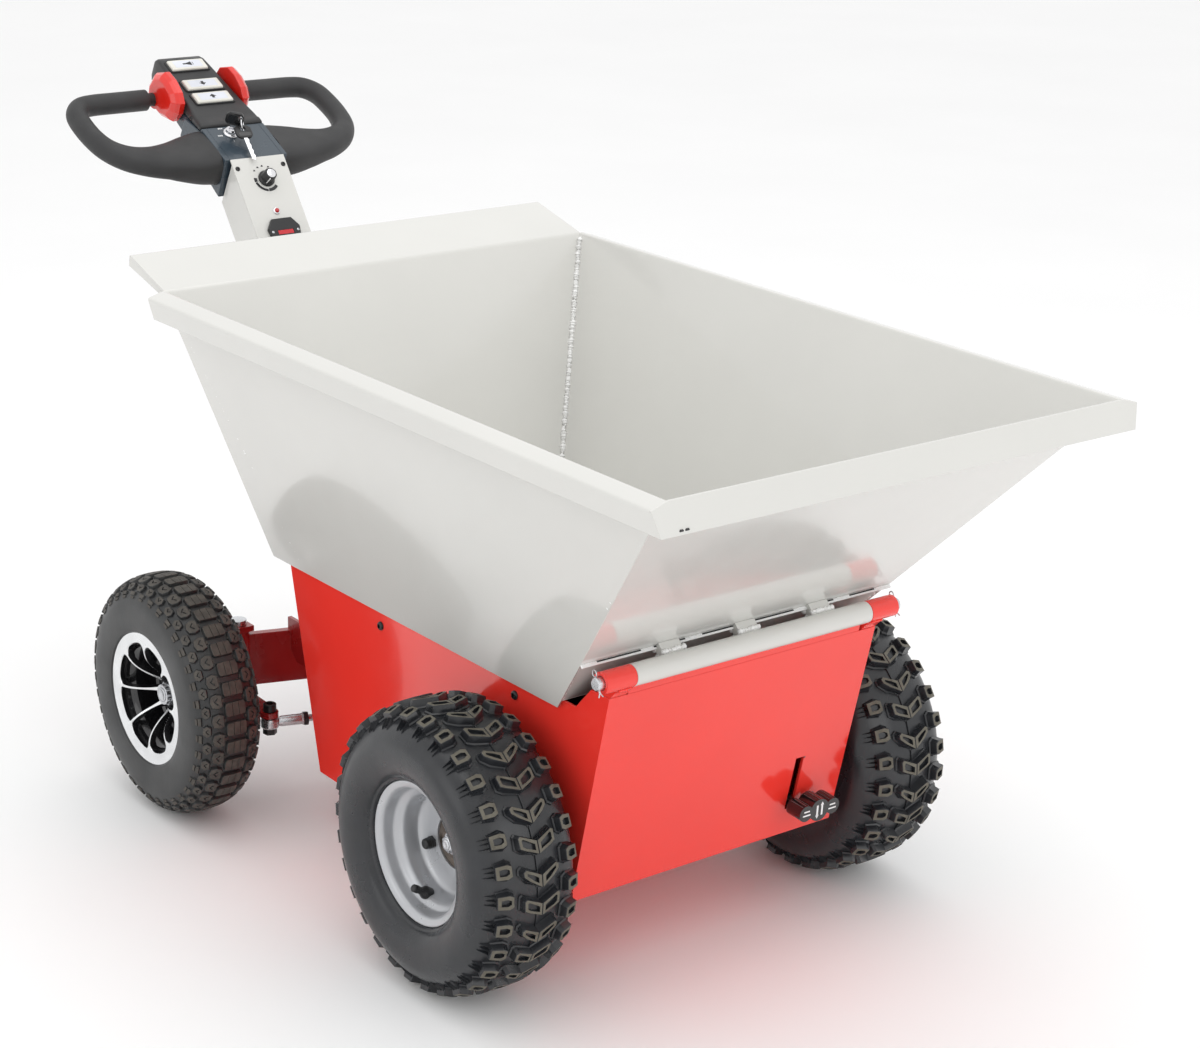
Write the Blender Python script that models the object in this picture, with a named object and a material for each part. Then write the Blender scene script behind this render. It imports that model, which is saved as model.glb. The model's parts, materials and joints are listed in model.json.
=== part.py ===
"""Power wheelbarrow with a tipping hopper, in metres with +Z up.

The machine drives towards -Y and the operator walks at +Y, so the operator's left is +X.
Sub-parts are drawn in machine coordinates: heights above the ground, lengths from the front
axle. One empty then puts the origin on the ground under the middle of the whole machine.
"""

import math

import bmesh
import bpy
from mathutils import Matrix, Vector

GAP = 0.0003
FRONT_AXLE_Y = -0.3682

# Wheels
FRONT_WHEEL = Vector((0.289, 0.0, 0.179))
FRONT_TYRE_RADIUS = 0.179
FRONT_TYRE_HALF_WIDTH = 0.0795
REAR_WHEEL = Vector((0.319, 0.623, 0.165))
REAR_TYRE_RADIUS = 0.165
REAR_TYRE_HALF_WIDTH = 0.0505

# Chassis box: sheet metal, leaning front panel and rear wall
SHEET = 0.003
CHASSIS_HALF_WIDTH = 0.206
PANEL_FOOT = Vector((-0.1155, 0.1230))
PANEL_TOP = Vector((-0.1768, 0.4030))
PANEL_LIP_Z = 0.4120
PANEL_LIP_INSET = 0.0004
PANEL_LIP_HALF_WIDTH = 0.1790
WALL_FOOT = Vector((0.4370, 0.0865))
WALL_TOP = Vector((0.5100, 0.3725))
FLOOR_Z = 0.0850

# Hopper: rim, walls of one sheet thickness, tipping hinge
HOPPER_SHEET = 0.0026
RIM_Z = 0.7303
RIM_HALF_WIDTH = 0.3345
RIM_FRONT_Y = -0.4182
RIM_REAR_Y = 0.5960
BACK_WALL_SLOPE = 0.351
SEAM = Vector((-0.1638, 0.4477))
SEAM_HALF_WIDTH = 0.2388
SKIRT_Z = 0.3615
PAN_Z = 0.3756
HINGE = Vector((-0.1836, 0.4290))
HINGE_PIPE_RADIUS = 0.01335
HINGE_PIPE_BORE = 0.0086
HINGE_PIN_RADIUS = 0.0080
HINGE_PIPE_HALF_LENGTH = 0.1812

# Lift actuator, from the chassis floor to the slotted lugs under the hopper
ACTUATOR_FOOT = Vector((0.120, 0.108))
ACTUATOR_HEAD = Vector((-0.060, 0.340))
ACTUATOR_PIN_RADIUS = 0.006
LUG_SLOT_REACH = 0.031

# Rear axle and steering: kingpins, steering axis and arm lengths make exact parallelograms
KINGPIN = Vector((0.220, 0.623))
STEER_AXIS_Y = 0.554
STEER_ARM = 0.081
ARM_LOW_Z = 0.133
ARM_HIGH_Z = 0.141
YOKE_TOP_LOW_Z = 0.2335
YOKE_TOP_HIGH_Z = 0.2415
TIE_ROD_Z = {"left": 0.1098, "right": 0.1245}
TIE_ROD_EYE_HALF = 0.0070
BOLT_RADIUS = 0.006
BOLT_BORE = 0.0064
KINGPIN_RADIUS = 0.0075
KINGPIN_BORE = 0.0079

# Tiller: a leaning column, and a flatter head with the handle
COLUMN_SLOPE = math.radians(53.4)
COLUMN_TOP = Vector((0.9236, 0.8140))
COLUMN_HALF_WIDTH = 0.044
COLUMN_DEPTH = 0.061
COLUMN_FOOT_Z = 0.262
HEAD_SLOPE = math.radians(27.0)
HEAD_ORIGIN = Vector((0.9255, 0.8147))
HOUSING_HALF_WIDTH = 0.0515
HANDLE_ROOT_X = 0.0518
HANDLE_ROOT_REACH = 0.0750
HANDLE_ROOT_DROP = 0.0170
HANDLE_SLOPE = math.radians(24.0)
HANDLE_ORIGIN = Vector((1.0089, 0.8319))
THROTTLE_S = 0.189
THROTTLE_D = -0.0282
GRIP_RADIUS = 0.0155
BUTTON_STATIONS = {"up_button": 0.140, "down_button": 0.1725, "horn_button": 0.221}
KEY_AT = Vector((-0.012, 0.058))
KEY_TWIST = math.radians(-30.0)
RING_RADIUS = 0.0105
RING_DROP = math.radians(65.0)
SPARE_ANGLE = math.radians(-70.0)
KNOB_AT = Vector((0.002, -0.034))

# Release lever
LEVER_PIVOT = Vector((0.0, 0.225))
LEVER_REST_ANGLE = math.radians(24.3)
LEVER_X = 0.128
KNOB_ROOT = Vector((0.1430, -0.1385, 0.1705))
KNOB_ALONG = (0.0, -1.0, -0.06)
KNOB_LENGTH = 0.0260
KNOB_PITCH = 0.0220
SLOT_LOW_X = 0.1215
SLOT_HIGH_X = 0.1345

# Finishes: colour, roughness, metallic
RED_PAINT = ((0.78, 0.05, 0.03), 0.30, 0.0)
DARK_RED_PAINT = ((0.33, 0.02, 0.02), 0.40, 0.0)
GREY_PAINT = ((0.68, 0.68, 0.66), 0.32, 0.0)
SLATE_PAINT = ((0.065, 0.085, 0.105), 0.35, 0.0)
BLACK_PLASTIC = ((0.03, 0.03, 0.032), 0.45, 0.0)
GRIP_RUBBER = ((0.045, 0.045, 0.047), 0.60, 0.0)
TYRE_RUBBER = ((0.035, 0.034, 0.033), 0.75, 0.0)
RED_PLASTIC = ((0.80, 0.04, 0.02), 0.30, 0.0)
WHITE_PLASTIC = ((0.78, 0.77, 0.70), 0.40, 0.0)
ZINC = ((0.62, 0.63, 0.65), 0.35, 1.0)
CHROME = ((0.80, 0.80, 0.82), 0.12, 1.0)
SILVER_PAINT = ((0.52, 0.54, 0.56), 0.35, 0.8)
BLACK_PAINT = ((0.02, 0.02, 0.02), 0.30, 0.0)
CAST_METAL = ((0.30, 0.30, 0.31), 0.50, 0.9)
RED_LENS = ((0.50, 0.01, 0.01), 0.15, 0.0)


# ---- shapes -------------------------------------------------------------------------------


def closed_mesh(points, faces):
    bm = bmesh.new()
    verts = [bm.verts.new(p) for p in points]
    for face in faces:
        bm.faces.new([verts[i] for i in face])
    bmesh.ops.recalc_face_normals(bm, faces=bm.faces)
    return bm


def prism(outline, low, high, axis="X"):
    """An outline drawn across the axis, in the order of the other two, from low to high."""
    def point(a, b, along):
        return {"X": (along, a, b), "Y": (a, along, b), "Z": (a, b, along)}[axis]

    count = len(outline)
    points = [point(a, b, low) for a, b in outline] + [point(a, b, high) for a, b in outline]
    sides = [(i, (i + 1) % count, count + (i + 1) % count, count + i) for i in range(count)]
    ends = [tuple(range(count)), tuple(range(count, 2 * count))]
    return closed_mesh(points, sides + ends)


def box(low, high):
    outline = [(low[1], low[2]), (high[1], low[2]), (high[1], high[2]), (low[1], high[2])]
    return prism(outline, low[0], high[0])


def turned(section, sides, centre=(0.0, 0.0, 0.0), axis="X"):
    """A body turned about an axis: a section that starts and ends on the axis is solid."""
    bm = bmesh.new()
    rings = []
    for along, radius in section:
        ring = []
        for k in range(sides if radius else 1):
            turn = math.tau * k / sides
            ring.append(bm.verts.new((along, radius * math.cos(turn), radius * math.sin(turn))))
        rings.append(ring)
    pairs = list(zip(rings, rings[1:]))
    if section[0][1]:
        pairs.append((rings[-1], rings[0]))
    for near, far in pairs:
        for k in range(sides):
            corners = [near[k % len(near)], near[(k + 1) % sides % len(near)]]
            corners += [far[(k + 1) % sides % len(far)], far[k % len(far)]]
            bm.faces.new(list(dict.fromkeys(corners)))
    bmesh.ops.recalc_face_normals(bm, faces=bm.faces)
    turns = {"X": Matrix(), "Y": Matrix.Rotation(math.pi / 2, 4, "Z")}
    turns["Z"] = Matrix.Rotation(-math.pi / 2, 4, "Y")
    return moved(bm, Matrix.Translation(centre) @ turns[axis])


def cylinder(low, high, radius, sides=16, centre=(0.0, 0.0, 0.0), axis="X"):
    return turned([(low, 0.0), (low, radius), (high, radius), (high, 0.0)], sides, centre, axis)


def moved(bm, matrix):
    bmesh.ops.transform(bm, matrix=matrix, verts=bm.verts)
    return bm


def frame_along(origin, along, across=(1.0, 0.0, 0.0)):
    """Local x runs along, local y across, local z square to both."""
    along = Vector(along).normalized()
    across = Vector(across).normalized()
    square = along.cross(across)
    matrix = Matrix((along, across, square)).transposed().to_4x4()
    matrix.translation = origin
    return matrix


def sloped_frame(slope, origin):
    """Local x is the machine's, local y climbs the slope, local z stands square on it."""
    lift = Matrix.Translation((0.0, origin.x, origin.y))
    return lift @ Matrix.Rotation(slope, 4, "X")


def arc(centre, radius, start, stop, steps):
    angles = [math.radians(start + (stop - start) * k / steps) for k in range(steps + 1)]
    return [(centre[0] + radius * math.cos(a), centre[1] + radius * math.sin(a)) for a in angles]


def crossing(point, along, other, other_along):
    """Where two lines of a plane cross."""
    step = other - point
    share = step.cross(other_along) / along.cross(other_along)
    return point + along * share


def slotted(centre, reach, radius, steps=6):
    """A slot's outline: half circles round a centre and round the point at reach from it."""
    tilt = math.degrees(math.atan2(reach.y, reach.x))
    near = arc(centre, radius, tilt + 90, tilt + 270, steps)
    return near + arc(centre + reach, radius, tilt - 90, tilt + 90, steps)


# ---- nodes --------------------------------------------------------------------------------


def clear_scene():
    for obj in list(bpy.data.objects):
        bpy.data.objects.remove(obj, do_unlink=True)


def finish_material(name, finish):
    colour, roughness, metallic = finish
    material = bpy.data.materials.new(name)
    material.use_nodes = True
    shader = material.node_tree.nodes["Principled BSDF"]
    shader.inputs["Base Color"].default_value = (*colour, 1.0)
    shader.inputs["Roughness"].default_value = roughness
    shader.inputs["Metallic"].default_value = metallic
    return material


def scene_object(name, bm, origin, mirror):
    """Puts a shape, drawn in machine coordinates, in the scene with its own origin."""
    moved(bm, Matrix.Translation(-Vector(origin)))
    if mirror:
        moved(bm, Matrix.Diagonal((-1.0, 1.0, 1.0, 1.0)))
        bmesh.ops.reverse_faces(bm, faces=bm.faces)
    mesh = bpy.data.meshes.new(name)
    bm.to_mesh(mesh)
    bm.free()
    mesh.shade_smooth()
    mesh.set_sharp_from_angle(angle=math.radians(32))
    obj = bpy.data.objects.new(name, mesh)
    bpy.context.scene.collection.objects.link(obj)
    obj.parent = bpy.data.objects["machine_frame"]
    obj.location = (-origin[0] if mirror else origin[0], origin[1], origin[2])
    return obj


def add_node(name, shape, finish, origin=(0.0, 0.0, 0.0), joined=(), removed=(), mirror=False):
    """One sub-part: its first shape, then the shapes joined to it, then those cut from it."""
    node = scene_object(name, shape, origin, mirror)
    node.data.materials.append(finish_material(name, finish))
    steps = [("UNION", tool) for tool in joined] + [("DIFFERENCE", tool) for tool in removed]
    for number, (operation, tool) in enumerate(steps):
        helper = scene_object(f"{name}_tool_{number}", tool, origin, mirror)
        helper.hide_render = True
        helper.display_type = "WIRE"
        modifier = node.modifiers.new(helper.name, "BOOLEAN")
        modifier.operation = operation
        modifier.object = helper
    return node


def add_pair(name, build, finish, origin):
    """The left node as built, and the right one as its mirror image."""
    for side in ("left", "right"):
        shape, joined, removed = build(side)
        add_node(f"{name}_{side}", shape, finish, origin, joined, removed, side == "right")


# ---- wheels -------------------------------------------------------------------------------


def tyre_shape(centre, radius, half_width, seat, lip):
    """A hollow tyre: each bead sits on the rim's seat, inside the rim's lip."""
    bead = [(seat.x - 0.0003, seat.y + 0.0004), (lip.x - 0.0005, lip.y + 0.0005)]
    bead.append((lip.x + 0.0035, lip.y + 0.0010))
    wall = [(0.985, 0.70), (1.0, 0.78), (0.93, 0.90), (0.62, 0.975)]
    outer = bead + [(along * half_width, share * radius) for along, share in wall]
    inner = [(0.60, 0.90), (0.84, 0.74)]
    inner = [(along * half_width, share * radius) for along, share in inner]
    inner += [(lip.x - 0.0080, lip.y + 0.0020), (seat.x - 0.0080, seat.y + 0.0004)]
    section = outer + [(0.0, radius)] + [(-along, out) for along, out in reversed(outer)]
    section += [(-along, out) for along, out in reversed(inner)] + inner
    return turned(section, 36, centre)


def front_tyre(side):
    seat = Vector((0.0540, 0.0795))
    lip = Vector((0.0560, 0.0885))
    half_width = FRONT_TYRE_HALF_WIDTH
    return tyre_shape(FRONT_WHEEL, FRONT_TYRE_RADIUS, half_width, seat, lip), [], []


def rear_tyre(side):
    seat = Vector((0.0400, 0.0795))
    lip = Vector((0.0430, 0.0900))
    half_width = REAR_TYRE_HALF_WIDTH
    return tyre_shape(REAR_WHEEL, REAR_TYRE_RADIUS, half_width, seat, lip), [], []


def front_rim(side):
    """A deep steel rim: its centre disc leaves a hole round the hub."""
    barrel = [(0.0585, 0.0885), (0.0560, 0.0885), (0.0540, 0.0795), (0.0365, 0.0780)]
    barrel += [(0.0295, 0.0675), (-0.0295, 0.0675), (-0.0365, 0.0780), (-0.0540, 0.0795)]
    barrel += [(-0.0560, 0.0885), (-0.0585, 0.0885), (-0.0570, 0.0765), (-0.0390, 0.0750)]
    disc = [(-0.0320, 0.0645), (0.0, 0.0645), (0.0, 0.0330), (0.0040, 0.0330), (0.0040, 0.0560)]
    disc += [(0.0300, 0.0645), (0.0385, 0.0750), (0.0570, 0.0765)]
    return turned(barrel + disc, 28, FRONT_WHEEL), [], []


def rear_rim(side):
    """A dished rim with its bearing hub."""
    barrel = [(0.0460, 0.0900), (0.0430, 0.0900), (0.0400, 0.0795), (0.0260, 0.0775)]
    barrel += [(0.0200, 0.0660), (-0.0200, 0.0660), (-0.0260, 0.0775), (-0.0400, 0.0795)]
    barrel += [(-0.0430, 0.0900), (-0.0460, 0.0900), (-0.0440, 0.0765), (-0.0290, 0.0745)]
    hub = [(-0.0230, 0.0630), (0.0120, 0.0630), (0.0010, 0.0240), (-0.0300, 0.0240)]
    hub += [(-0.0300, 0.0108), (0.0100, 0.0108), (0.0100, 0.0260), (0.0320, 0.0740)]
    return turned(barrel + hub + [(0.0445, 0.0840)], 28, REAR_WHEEL), [], []


def axle_shaft(side):
    """The driven shaft, with the flange that carries the rim and the nut at its end."""
    section = [(0.1500, 0.0), (0.1500, 0.0105), (0.2620, 0.0105), (0.2620, 0.0220)]
    section += [(0.2800, 0.0220), (0.2800, 0.0520), (0.2886, 0.0520), (0.2886, 0.0200)]
    section += [(0.2970, 0.0200), (0.2970, 0.0125), (0.3063, 0.0125), (0.3063, 0.0)]
    return turned(section, 20, (0.0, FRONT_WHEEL.y, FRONT_WHEEL.z)), [], []


def add_wheels():
    add_pair("front_tyre", front_tyre, TYRE_RUBBER, FRONT_WHEEL)
    add_pair("front_rim", front_rim, SILVER_PAINT, FRONT_WHEEL)
    add_pair("axle_shaft", axle_shaft, ZINC, FRONT_WHEEL)
    add_pair("rear_tyre", rear_tyre, TYRE_RUBBER, REAR_WHEEL)
    add_pair("rear_rim", rear_rim, BLACK_PAINT, REAR_WHEEL)


# ---- chassis ------------------------------------------------------------------------------


def wall_y(z):
    """The outer face of the leaning rear wall at a height."""
    share = (z - WALL_FOOT.y) / (WALL_TOP.y - WALL_FOOT.y)
    return WALL_FOOT.x + share * (WALL_TOP.x - WALL_FOOT.x)


def panel_y(z):
    """The outer face of the leaning front panel at a height."""
    share = (z - PANEL_FOOT.y) / (PANEL_TOP.y - PANEL_FOOT.y)
    return PANEL_FOOT.x + share * (PANEL_TOP.x - PANEL_FOOT.x)


def add_chassis_shell():
    """A welded open-topped box: its sides rise to a peak under each hinge sleeve."""
    outline = [PANEL_FOOT, PANEL_TOP, (-0.1427, PANEL_TOP.y), (-0.1150, WALL_TOP.y), WALL_TOP]
    outline += [WALL_FOOT, (0.3600, FLOOR_Z), (0.0, FLOOR_Z)]
    over = PANEL_TOP.y + 0.05
    lean = SHEET + 0.0001
    inside = [(PANEL_FOOT.x + lean + 0.0010, PANEL_FOOT.y + SHEET), (panel_y(over) + lean, over)]
    inside += [(wall_y(over) - lean, over), (WALL_FOOT.x - lean, FLOOR_Z + SHEET + 0.0015)]
    inside += [(0.3600, FLOOR_Z + SHEET), (0.0008, FLOOR_Z + SHEET)]
    half = CHASSIS_HALF_WIDTH
    lugs = [(0.098, 0.0865), (0.142, 0.0865), (0.132, 0.1215), (0.108, 0.1215)]
    foot = (0.0, ACTUATOR_FOOT.x, ACTUATOR_FOOT.y)
    pivot = (0.0, LEVER_PIVOT.x, LEVER_PIVOT.y)
    joined = [prism(lugs, 0.0158, 0.0208), prism(lugs, -0.0208, -0.0158)]
    joined.append(cylinder(0.1180, half - 0.001, 0.0070, 16, pivot))
    low, high = PANEL_TOP.y - 0.0080, PANEL_LIP_Z
    front, back = PANEL_LIP_INSET, SHEET - PANEL_LIP_INSET
    lip = [(panel_y(low) + front, low), (panel_y(high) + front, high)]
    lip += [(panel_y(high) + back, high), (panel_y(low) + back, low)]
    joined.append(prism(lip, -PANEL_LIP_HALF_WIDTH, PANEL_LIP_HALF_WIDTH))
    slot_x = 0.5 * (SLOT_LOW_X + SLOT_HIGH_X)
    slot_half = 0.5 * (SLOT_HIGH_X - SLOT_LOW_X)
    removed = [cylinder(-0.03, 0.03, BOLT_BORE, 16, foot)]
    removed.append(cylinder(-0.30, 0.30, 0.0280, 24, (0.0, FRONT_WHEEL.y, FRONT_WHEEL.z)))
    slot_low = (slot_x - slot_half, -0.20, 0.1600)
    removed.append(box(slot_low, (slot_x + slot_half, -0.08, 0.2345)))
    shell = prism(outline, -half, half)
    hollow = prism(inside, SHEET - half, half - SHEET)
    add_node("chassis_shell", shell, RED_PAINT, removed=[hollow])
    node = bpy.data.objects["chassis_shell"]
    add_tools(node, joined, removed)


def add_tools(node, joined, removed):
    """More shapes joined to a node, or cut from it, after its first cuts."""
    steps = [("UNION", tool) for tool in joined] + [("DIFFERENCE", tool) for tool in removed]
    for number, (operation, tool) in enumerate(steps):
        helper = scene_object(f"{node.name}_late_tool_{number}", tool, (0.0, 0.0, 0.0), False)
        helper.hide_render = True
        helper.display_type = "WIRE"
        modifier = node.modifiers.new(helper.name, "BOOLEAN")
        modifier.operation = operation
        modifier.object = helper


def add_rear_cover():
    low, high = 0.262, 0.352
    outline = [(wall_y(low) + GAP, low), (wall_y(high) + GAP, high)]
    outline += [(wall_y(high) + 0.0028, high), (wall_y(low) + 0.0028, low)]
    add_node("rear_cover", prism(outline, -0.150, 0.150), RED_PAINT)


def hinge_sleeve(side):
    """A short pipe on a gusset that stands on the panel and the side plate."""
    centre = (0.0, HINGE.x, HINGE.y)
    low = HINGE_PIPE_HALF_LENGTH + 0.0005
    foot = PANEL_TOP.y + GAP
    gusset = [(-0.1905, 0.4180), (-0.1735, 0.4220), (-0.1490, foot), (-0.1765, foot)]
    solid = cylinder(low, 0.2245, HINGE_PIPE_RADIUS, 24, centre)
    bore = cylinder(low - 0.01, 0.2345, HINGE_PIPE_BORE, 24, centre)
    return solid, [prism(gusset, low + 0.0005, 0.2055)], [bore]


def cotter_pin(side):
    """A split pin's eye and legs, through the end of the hinge pin."""
    at = Vector((0.2292, HINGE.x, HINGE.y))
    tilt = Matrix.Translation(at) @ Matrix.Rotation(math.radians(-28), 4, "X")
    legs = moved(cylinder(-0.0150, 0.0105, 0.0013, 8, axis="Z"), tilt)
    eye = [(0.0013 * math.cos(math.tau * k / 8), 0.0042 + 0.0013 * math.sin(math.tau * k / 8))
           for k in range(8)]
    ring = moved(turned(eye, 14), tilt @ Matrix.Translation((0.0, 0.0, 0.0145)))
    return legs, [ring], []


def add_hinge():
    centre = (0.0, HINGE.x, HINGE.y)
    add_pair("hinge_sleeve", hinge_sleeve, RED_PAINT, (0.2031, HINGE.x, HINGE.y))
    radius = HINGE_PIN_RADIUS
    section = [(-0.2330, 0.0), (-0.2330, radius - 0.001), (-0.2320, radius), (0.2320, radius)]
    section += [(0.2330, radius - 0.001), (0.2330, 0.0)]
    tilt = Matrix.Rotation(math.radians(-28), 4, "X")
    holes = []
    for x in (-0.2292, 0.2292):
        hole = cylinder(-0.02, 0.02, 0.0019, 8, axis="Z")
        holes.append(moved(hole, Matrix.Translation((x, HINGE.x, HINGE.y)) @ tilt))
    add_node("hinge_pin", turned(section, 24, centre), ZINC, centre, removed=holes)
    add_pair("cotter_pin", cotter_pin, ZINC, (0.2292, HINGE.x, HINGE.y))


# ---- hopper -------------------------------------------------------------------------------


def side_half_width(z):
    """The outer face of the sloping side walls at a height."""
    slope = (RIM_HALF_WIDTH + HOPPER_SHEET - SEAM_HALF_WIDTH) / (RIM_Z - SEAM.y)
    return SEAM_HALF_WIDTH + (z - SEAM.y) * slope


def front_wall_y(z):
    slope = (RIM_FRONT_Y - 0.0022 - SEAM.x) / (RIM_Z - SEAM.y)
    if z < SEAM.y:
        slope = -0.923
    return SEAM.x + (z - SEAM.y) * slope


def back_wall_y(z):
    return RIM_REAR_Y + HOPPER_SHEET + (z - RIM_Z) * 0.1437


def leaning_wall_y(z):
    """The outer face of the back wall, which leans in between the side walls' rear edges."""
    return RIM_REAR_Y + HOPPER_SHEET + (z - RIM_Z) * BACK_WALL_SLOPE


def walled_solid(levels, inset, back_y=back_wall_y):
    """The hopper's tapering inside or outside between heights, drawn in by an inset."""
    points = []
    for z in levels:
        half = side_half_width(z) - inset
        front = front_wall_y(z) + 1.36 * inset
        back = back_y(z) - 1.05 * inset
        points += [(-half, front, z), (half, front, z), (half, back, z), (-half, back, z)]
    faces = [(0, 1, 2, 3), tuple(len(points) - 4 + k for k in range(4))]
    for level in range(len(levels) - 1):
        base = 4 * level
        for k in range(4):
            corner = (k + 1) % 4
            faces.append((base + k, base + corner, base + 4 + corner, base + 4 + k))
    return closed_mesh(points, faces)


def behind_back_wall():
    """The open space behind the back wall, between the side walls and over the pan."""
    points = []
    for z in (PAN_Z, RIM_Z - 0.0040):
        half = side_half_width(z) - HOPPER_SHEET
        front = leaning_wall_y(z)
        points += [(-half, front, z), (half, front, z), (half, 0.70, z), (-half, 0.70, z)]
    faces = [(0, 1, 2, 3), (4, 5, 6, 7), (0, 1, 5, 4), (1, 2, 6, 5), (2, 3, 7, 6), (3, 0, 4, 7)]
    return closed_mesh(points, faces)


def side_flange(sign):
    """The folded rim of a side wall: outwards, then down along the wall's slope."""
    profile = [(0.3350, RIM_Z - 0.0001), (0.3588, 0.7241), (0.3506, 0.6943), (0.3481, 0.6950)]
    profile += [(0.3557, 0.7222), (0.3350, 0.7275)]
    outline = [(sign * x, z) for x, z in profile]
    return prism(outline, RIM_FRONT_Y - 0.0040, 0.5965, "Y")


def front_lip():
    """The plate that closes the front rim and leans forwards at its foot."""
    profile = [(-0.3345, RIM_Z), (0.3345, RIM_Z), (0.3588, 0.7241), (0.3506, 0.6943)]
    profile += [(-0.3506, 0.6943), (-0.3588, 0.7241)]
    points = []
    for depth in (0.0, HOPPER_SHEET):
        for x, z in profile:
            points.append((x, RIM_FRONT_Y - 0.0026 - (RIM_Z - z) * 0.2778 + depth, z))
    count = len(profile)
    sides = [(i, (i + 1) % count, count + (i + 1) % count, count + i) for i in range(count)]
    return closed_mesh(points, sides + [tuple(range(count)), tuple(range(count, 2 * count))])


def back_flange():
    """The wide apron behind the rim, with a short fold down at each end."""
    top = [(RIM_REAR_Y + 0.0004, RIM_Z - 0.0002), (0.6948, 0.7573)]
    sheet = top + [(0.6955, 0.7547), (RIM_REAR_Y + 0.0004, RIM_Z - 0.0030)]
    fold = top + [(0.6990, 0.7420), (RIM_REAR_Y + 0.0120, 0.7180), (RIM_REAR_Y + 0.0004, 0.7200)]
    half = 0.3304
    ends = [prism(fold, half - HOPPER_SHEET, half), prism(fold, -half, HOPPER_SHEET - half)]
    hem = [(0.6948, 0.7573), (0.6960, 0.7470), (0.6934, 0.7470), (0.6922, 0.7566)]
    return [prism(sheet, -half, half), prism(hem, -half, half)] + ends


def actuator_lugs():
    outline = [(-0.0330, 0.3745), (-0.0950, 0.3745), (-0.1010, 0.3680), (-0.1035, 0.3590)]
    outline += [(-0.1000, 0.3480), (-0.0957, 0.3435), (-0.0705, 0.3254), (-0.0600, 0.3215)]
    outline += [(-0.0480, 0.3265), (-0.0415, 0.3400)]
    return [prism(outline, 0.0150, 0.0200), prism(outline, -0.0200, -0.0150)]


def add_hopper():
    rim_over = RIM_Z + 0.03
    shell = walled_solid([SKIRT_Z, SEAM.y, RIM_Z], 0.0)
    inside = walled_solid([PAN_Z, SEAM.y, rim_over], HOPPER_SHEET, leaning_wall_y)
    below = walled_solid([SKIRT_Z - 0.02, PAN_Z - HOPPER_SHEET], HOPPER_SHEET)
    toward_hinge = (HINGE - ACTUATOR_HEAD).normalized() * LUG_SLOT_REACH
    slot = prism(slotted(ACTUATOR_HEAD, toward_hinge, 0.0128), -0.03, 0.03)
    clear = CHASSIS_HALF_WIDTH + 0.0002
    foot = box((-clear, -0.20, SKIRT_Z - 0.02), (clear, 0.0, WALL_TOP.y + 0.0005))
    node = add_node("hopper", shell, GREY_PAINT, removed=[inside, below, foot, behind_back_wall()])
    pieces = [side_flange(1), side_flange(-1), front_lip()] + back_flange() + actuator_lugs()
    add_tools(node, pieces, [slot])


def add_hopper_hinge_tube():
    """The grey pipe of the hinge, with the tabs that weld it to the hopper."""
    centre = (0.0, HINGE.x, HINGE.y)
    outward = Vector((0.7346, 0.6785))
    along = Vector((0.6785, -0.7346))
    near, far, half = 0.0095, 0.0268, 0.0060
    tab = [HINGE + outward * near + along * half, HINGE + outward * far + along * half]
    tab += [HINGE + outward * far - along * half, HINGE + outward * near - along * half]
    tabs = [prism(tab, x - 0.015, x + 0.015) for x in (-0.115, 0.0, 0.115)]
    half_length = HINGE_PIPE_HALF_LENGTH
    solid = cylinder(-half_length, half_length, HINGE_PIPE_RADIUS, 24, centre)
    bore = cylinder(-0.2, 0.2, HINGE_PIPE_BORE, 24, centre)
    add_node("hopper_hinge_tube", solid, GREY_PAINT, centre, tabs, [bore])


# ---- actuator -----------------------------------------------------------------------------


def add_actuator():
    foot = Vector((0.0, ACTUATOR_FOOT.x, ACTUATOR_FOOT.y))
    head = Vector((0.0, ACTUATOR_HEAD.x, ACTUATOR_HEAD.y))
    length = (head - foot).length
    local = frame_along(foot, head - foot)
    tube = [(0.024, 0.0), (0.024, 0.0170), (0.2300, 0.0170), (0.2300, 0.0102)]
    tube += [(0.0520, 0.0102), (0.0520, 0.0)]
    body = moved(turned(tube, 20), local)
    motor = moved(cylinder(0.040, 0.135, 0.0180, 20, (0.0, 0.038, 0.0)), local)
    block = moved(box((0.023, -0.0160, -0.0165), (0.050, 0.0550, 0.0165)), local)
    neck = moved(box((0.002, -0.0145, -0.0110), (0.030, 0.0145, 0.0110)), local)
    eye = cylinder(-0.0150, 0.0150, 0.0120, 20, foot)
    bore = cylinder(-0.05, 0.05, BOLT_BORE, 16, foot)
    add_node("actuator_body", body, BLACK_PAINT, foot, [block, motor, neck, eye], [bore])
    rod = moved(cylinder(0.0540, length - 0.006, 0.0095, 16), local)
    rod_eye = cylinder(-0.0125, 0.0125, 0.0120, 20, head)
    rod_bore = cylinder(-0.05, 0.05, BOLT_BORE, 16, head)
    add_node("actuator_rod", rod, CHROME, head, [rod_eye], [rod_bore])
    pin = ACTUATOR_PIN_RADIUS
    add_node("actuator_lower_pin", cylinder(-0.0240, 0.0240, pin, 16, foot), ZINC, foot)
    add_node("actuator_upper_pin", cylinder(-0.0230, 0.0230, pin, 16, head), ZINC, head)


# ---- drive --------------------------------------------------------------------------------


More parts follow.
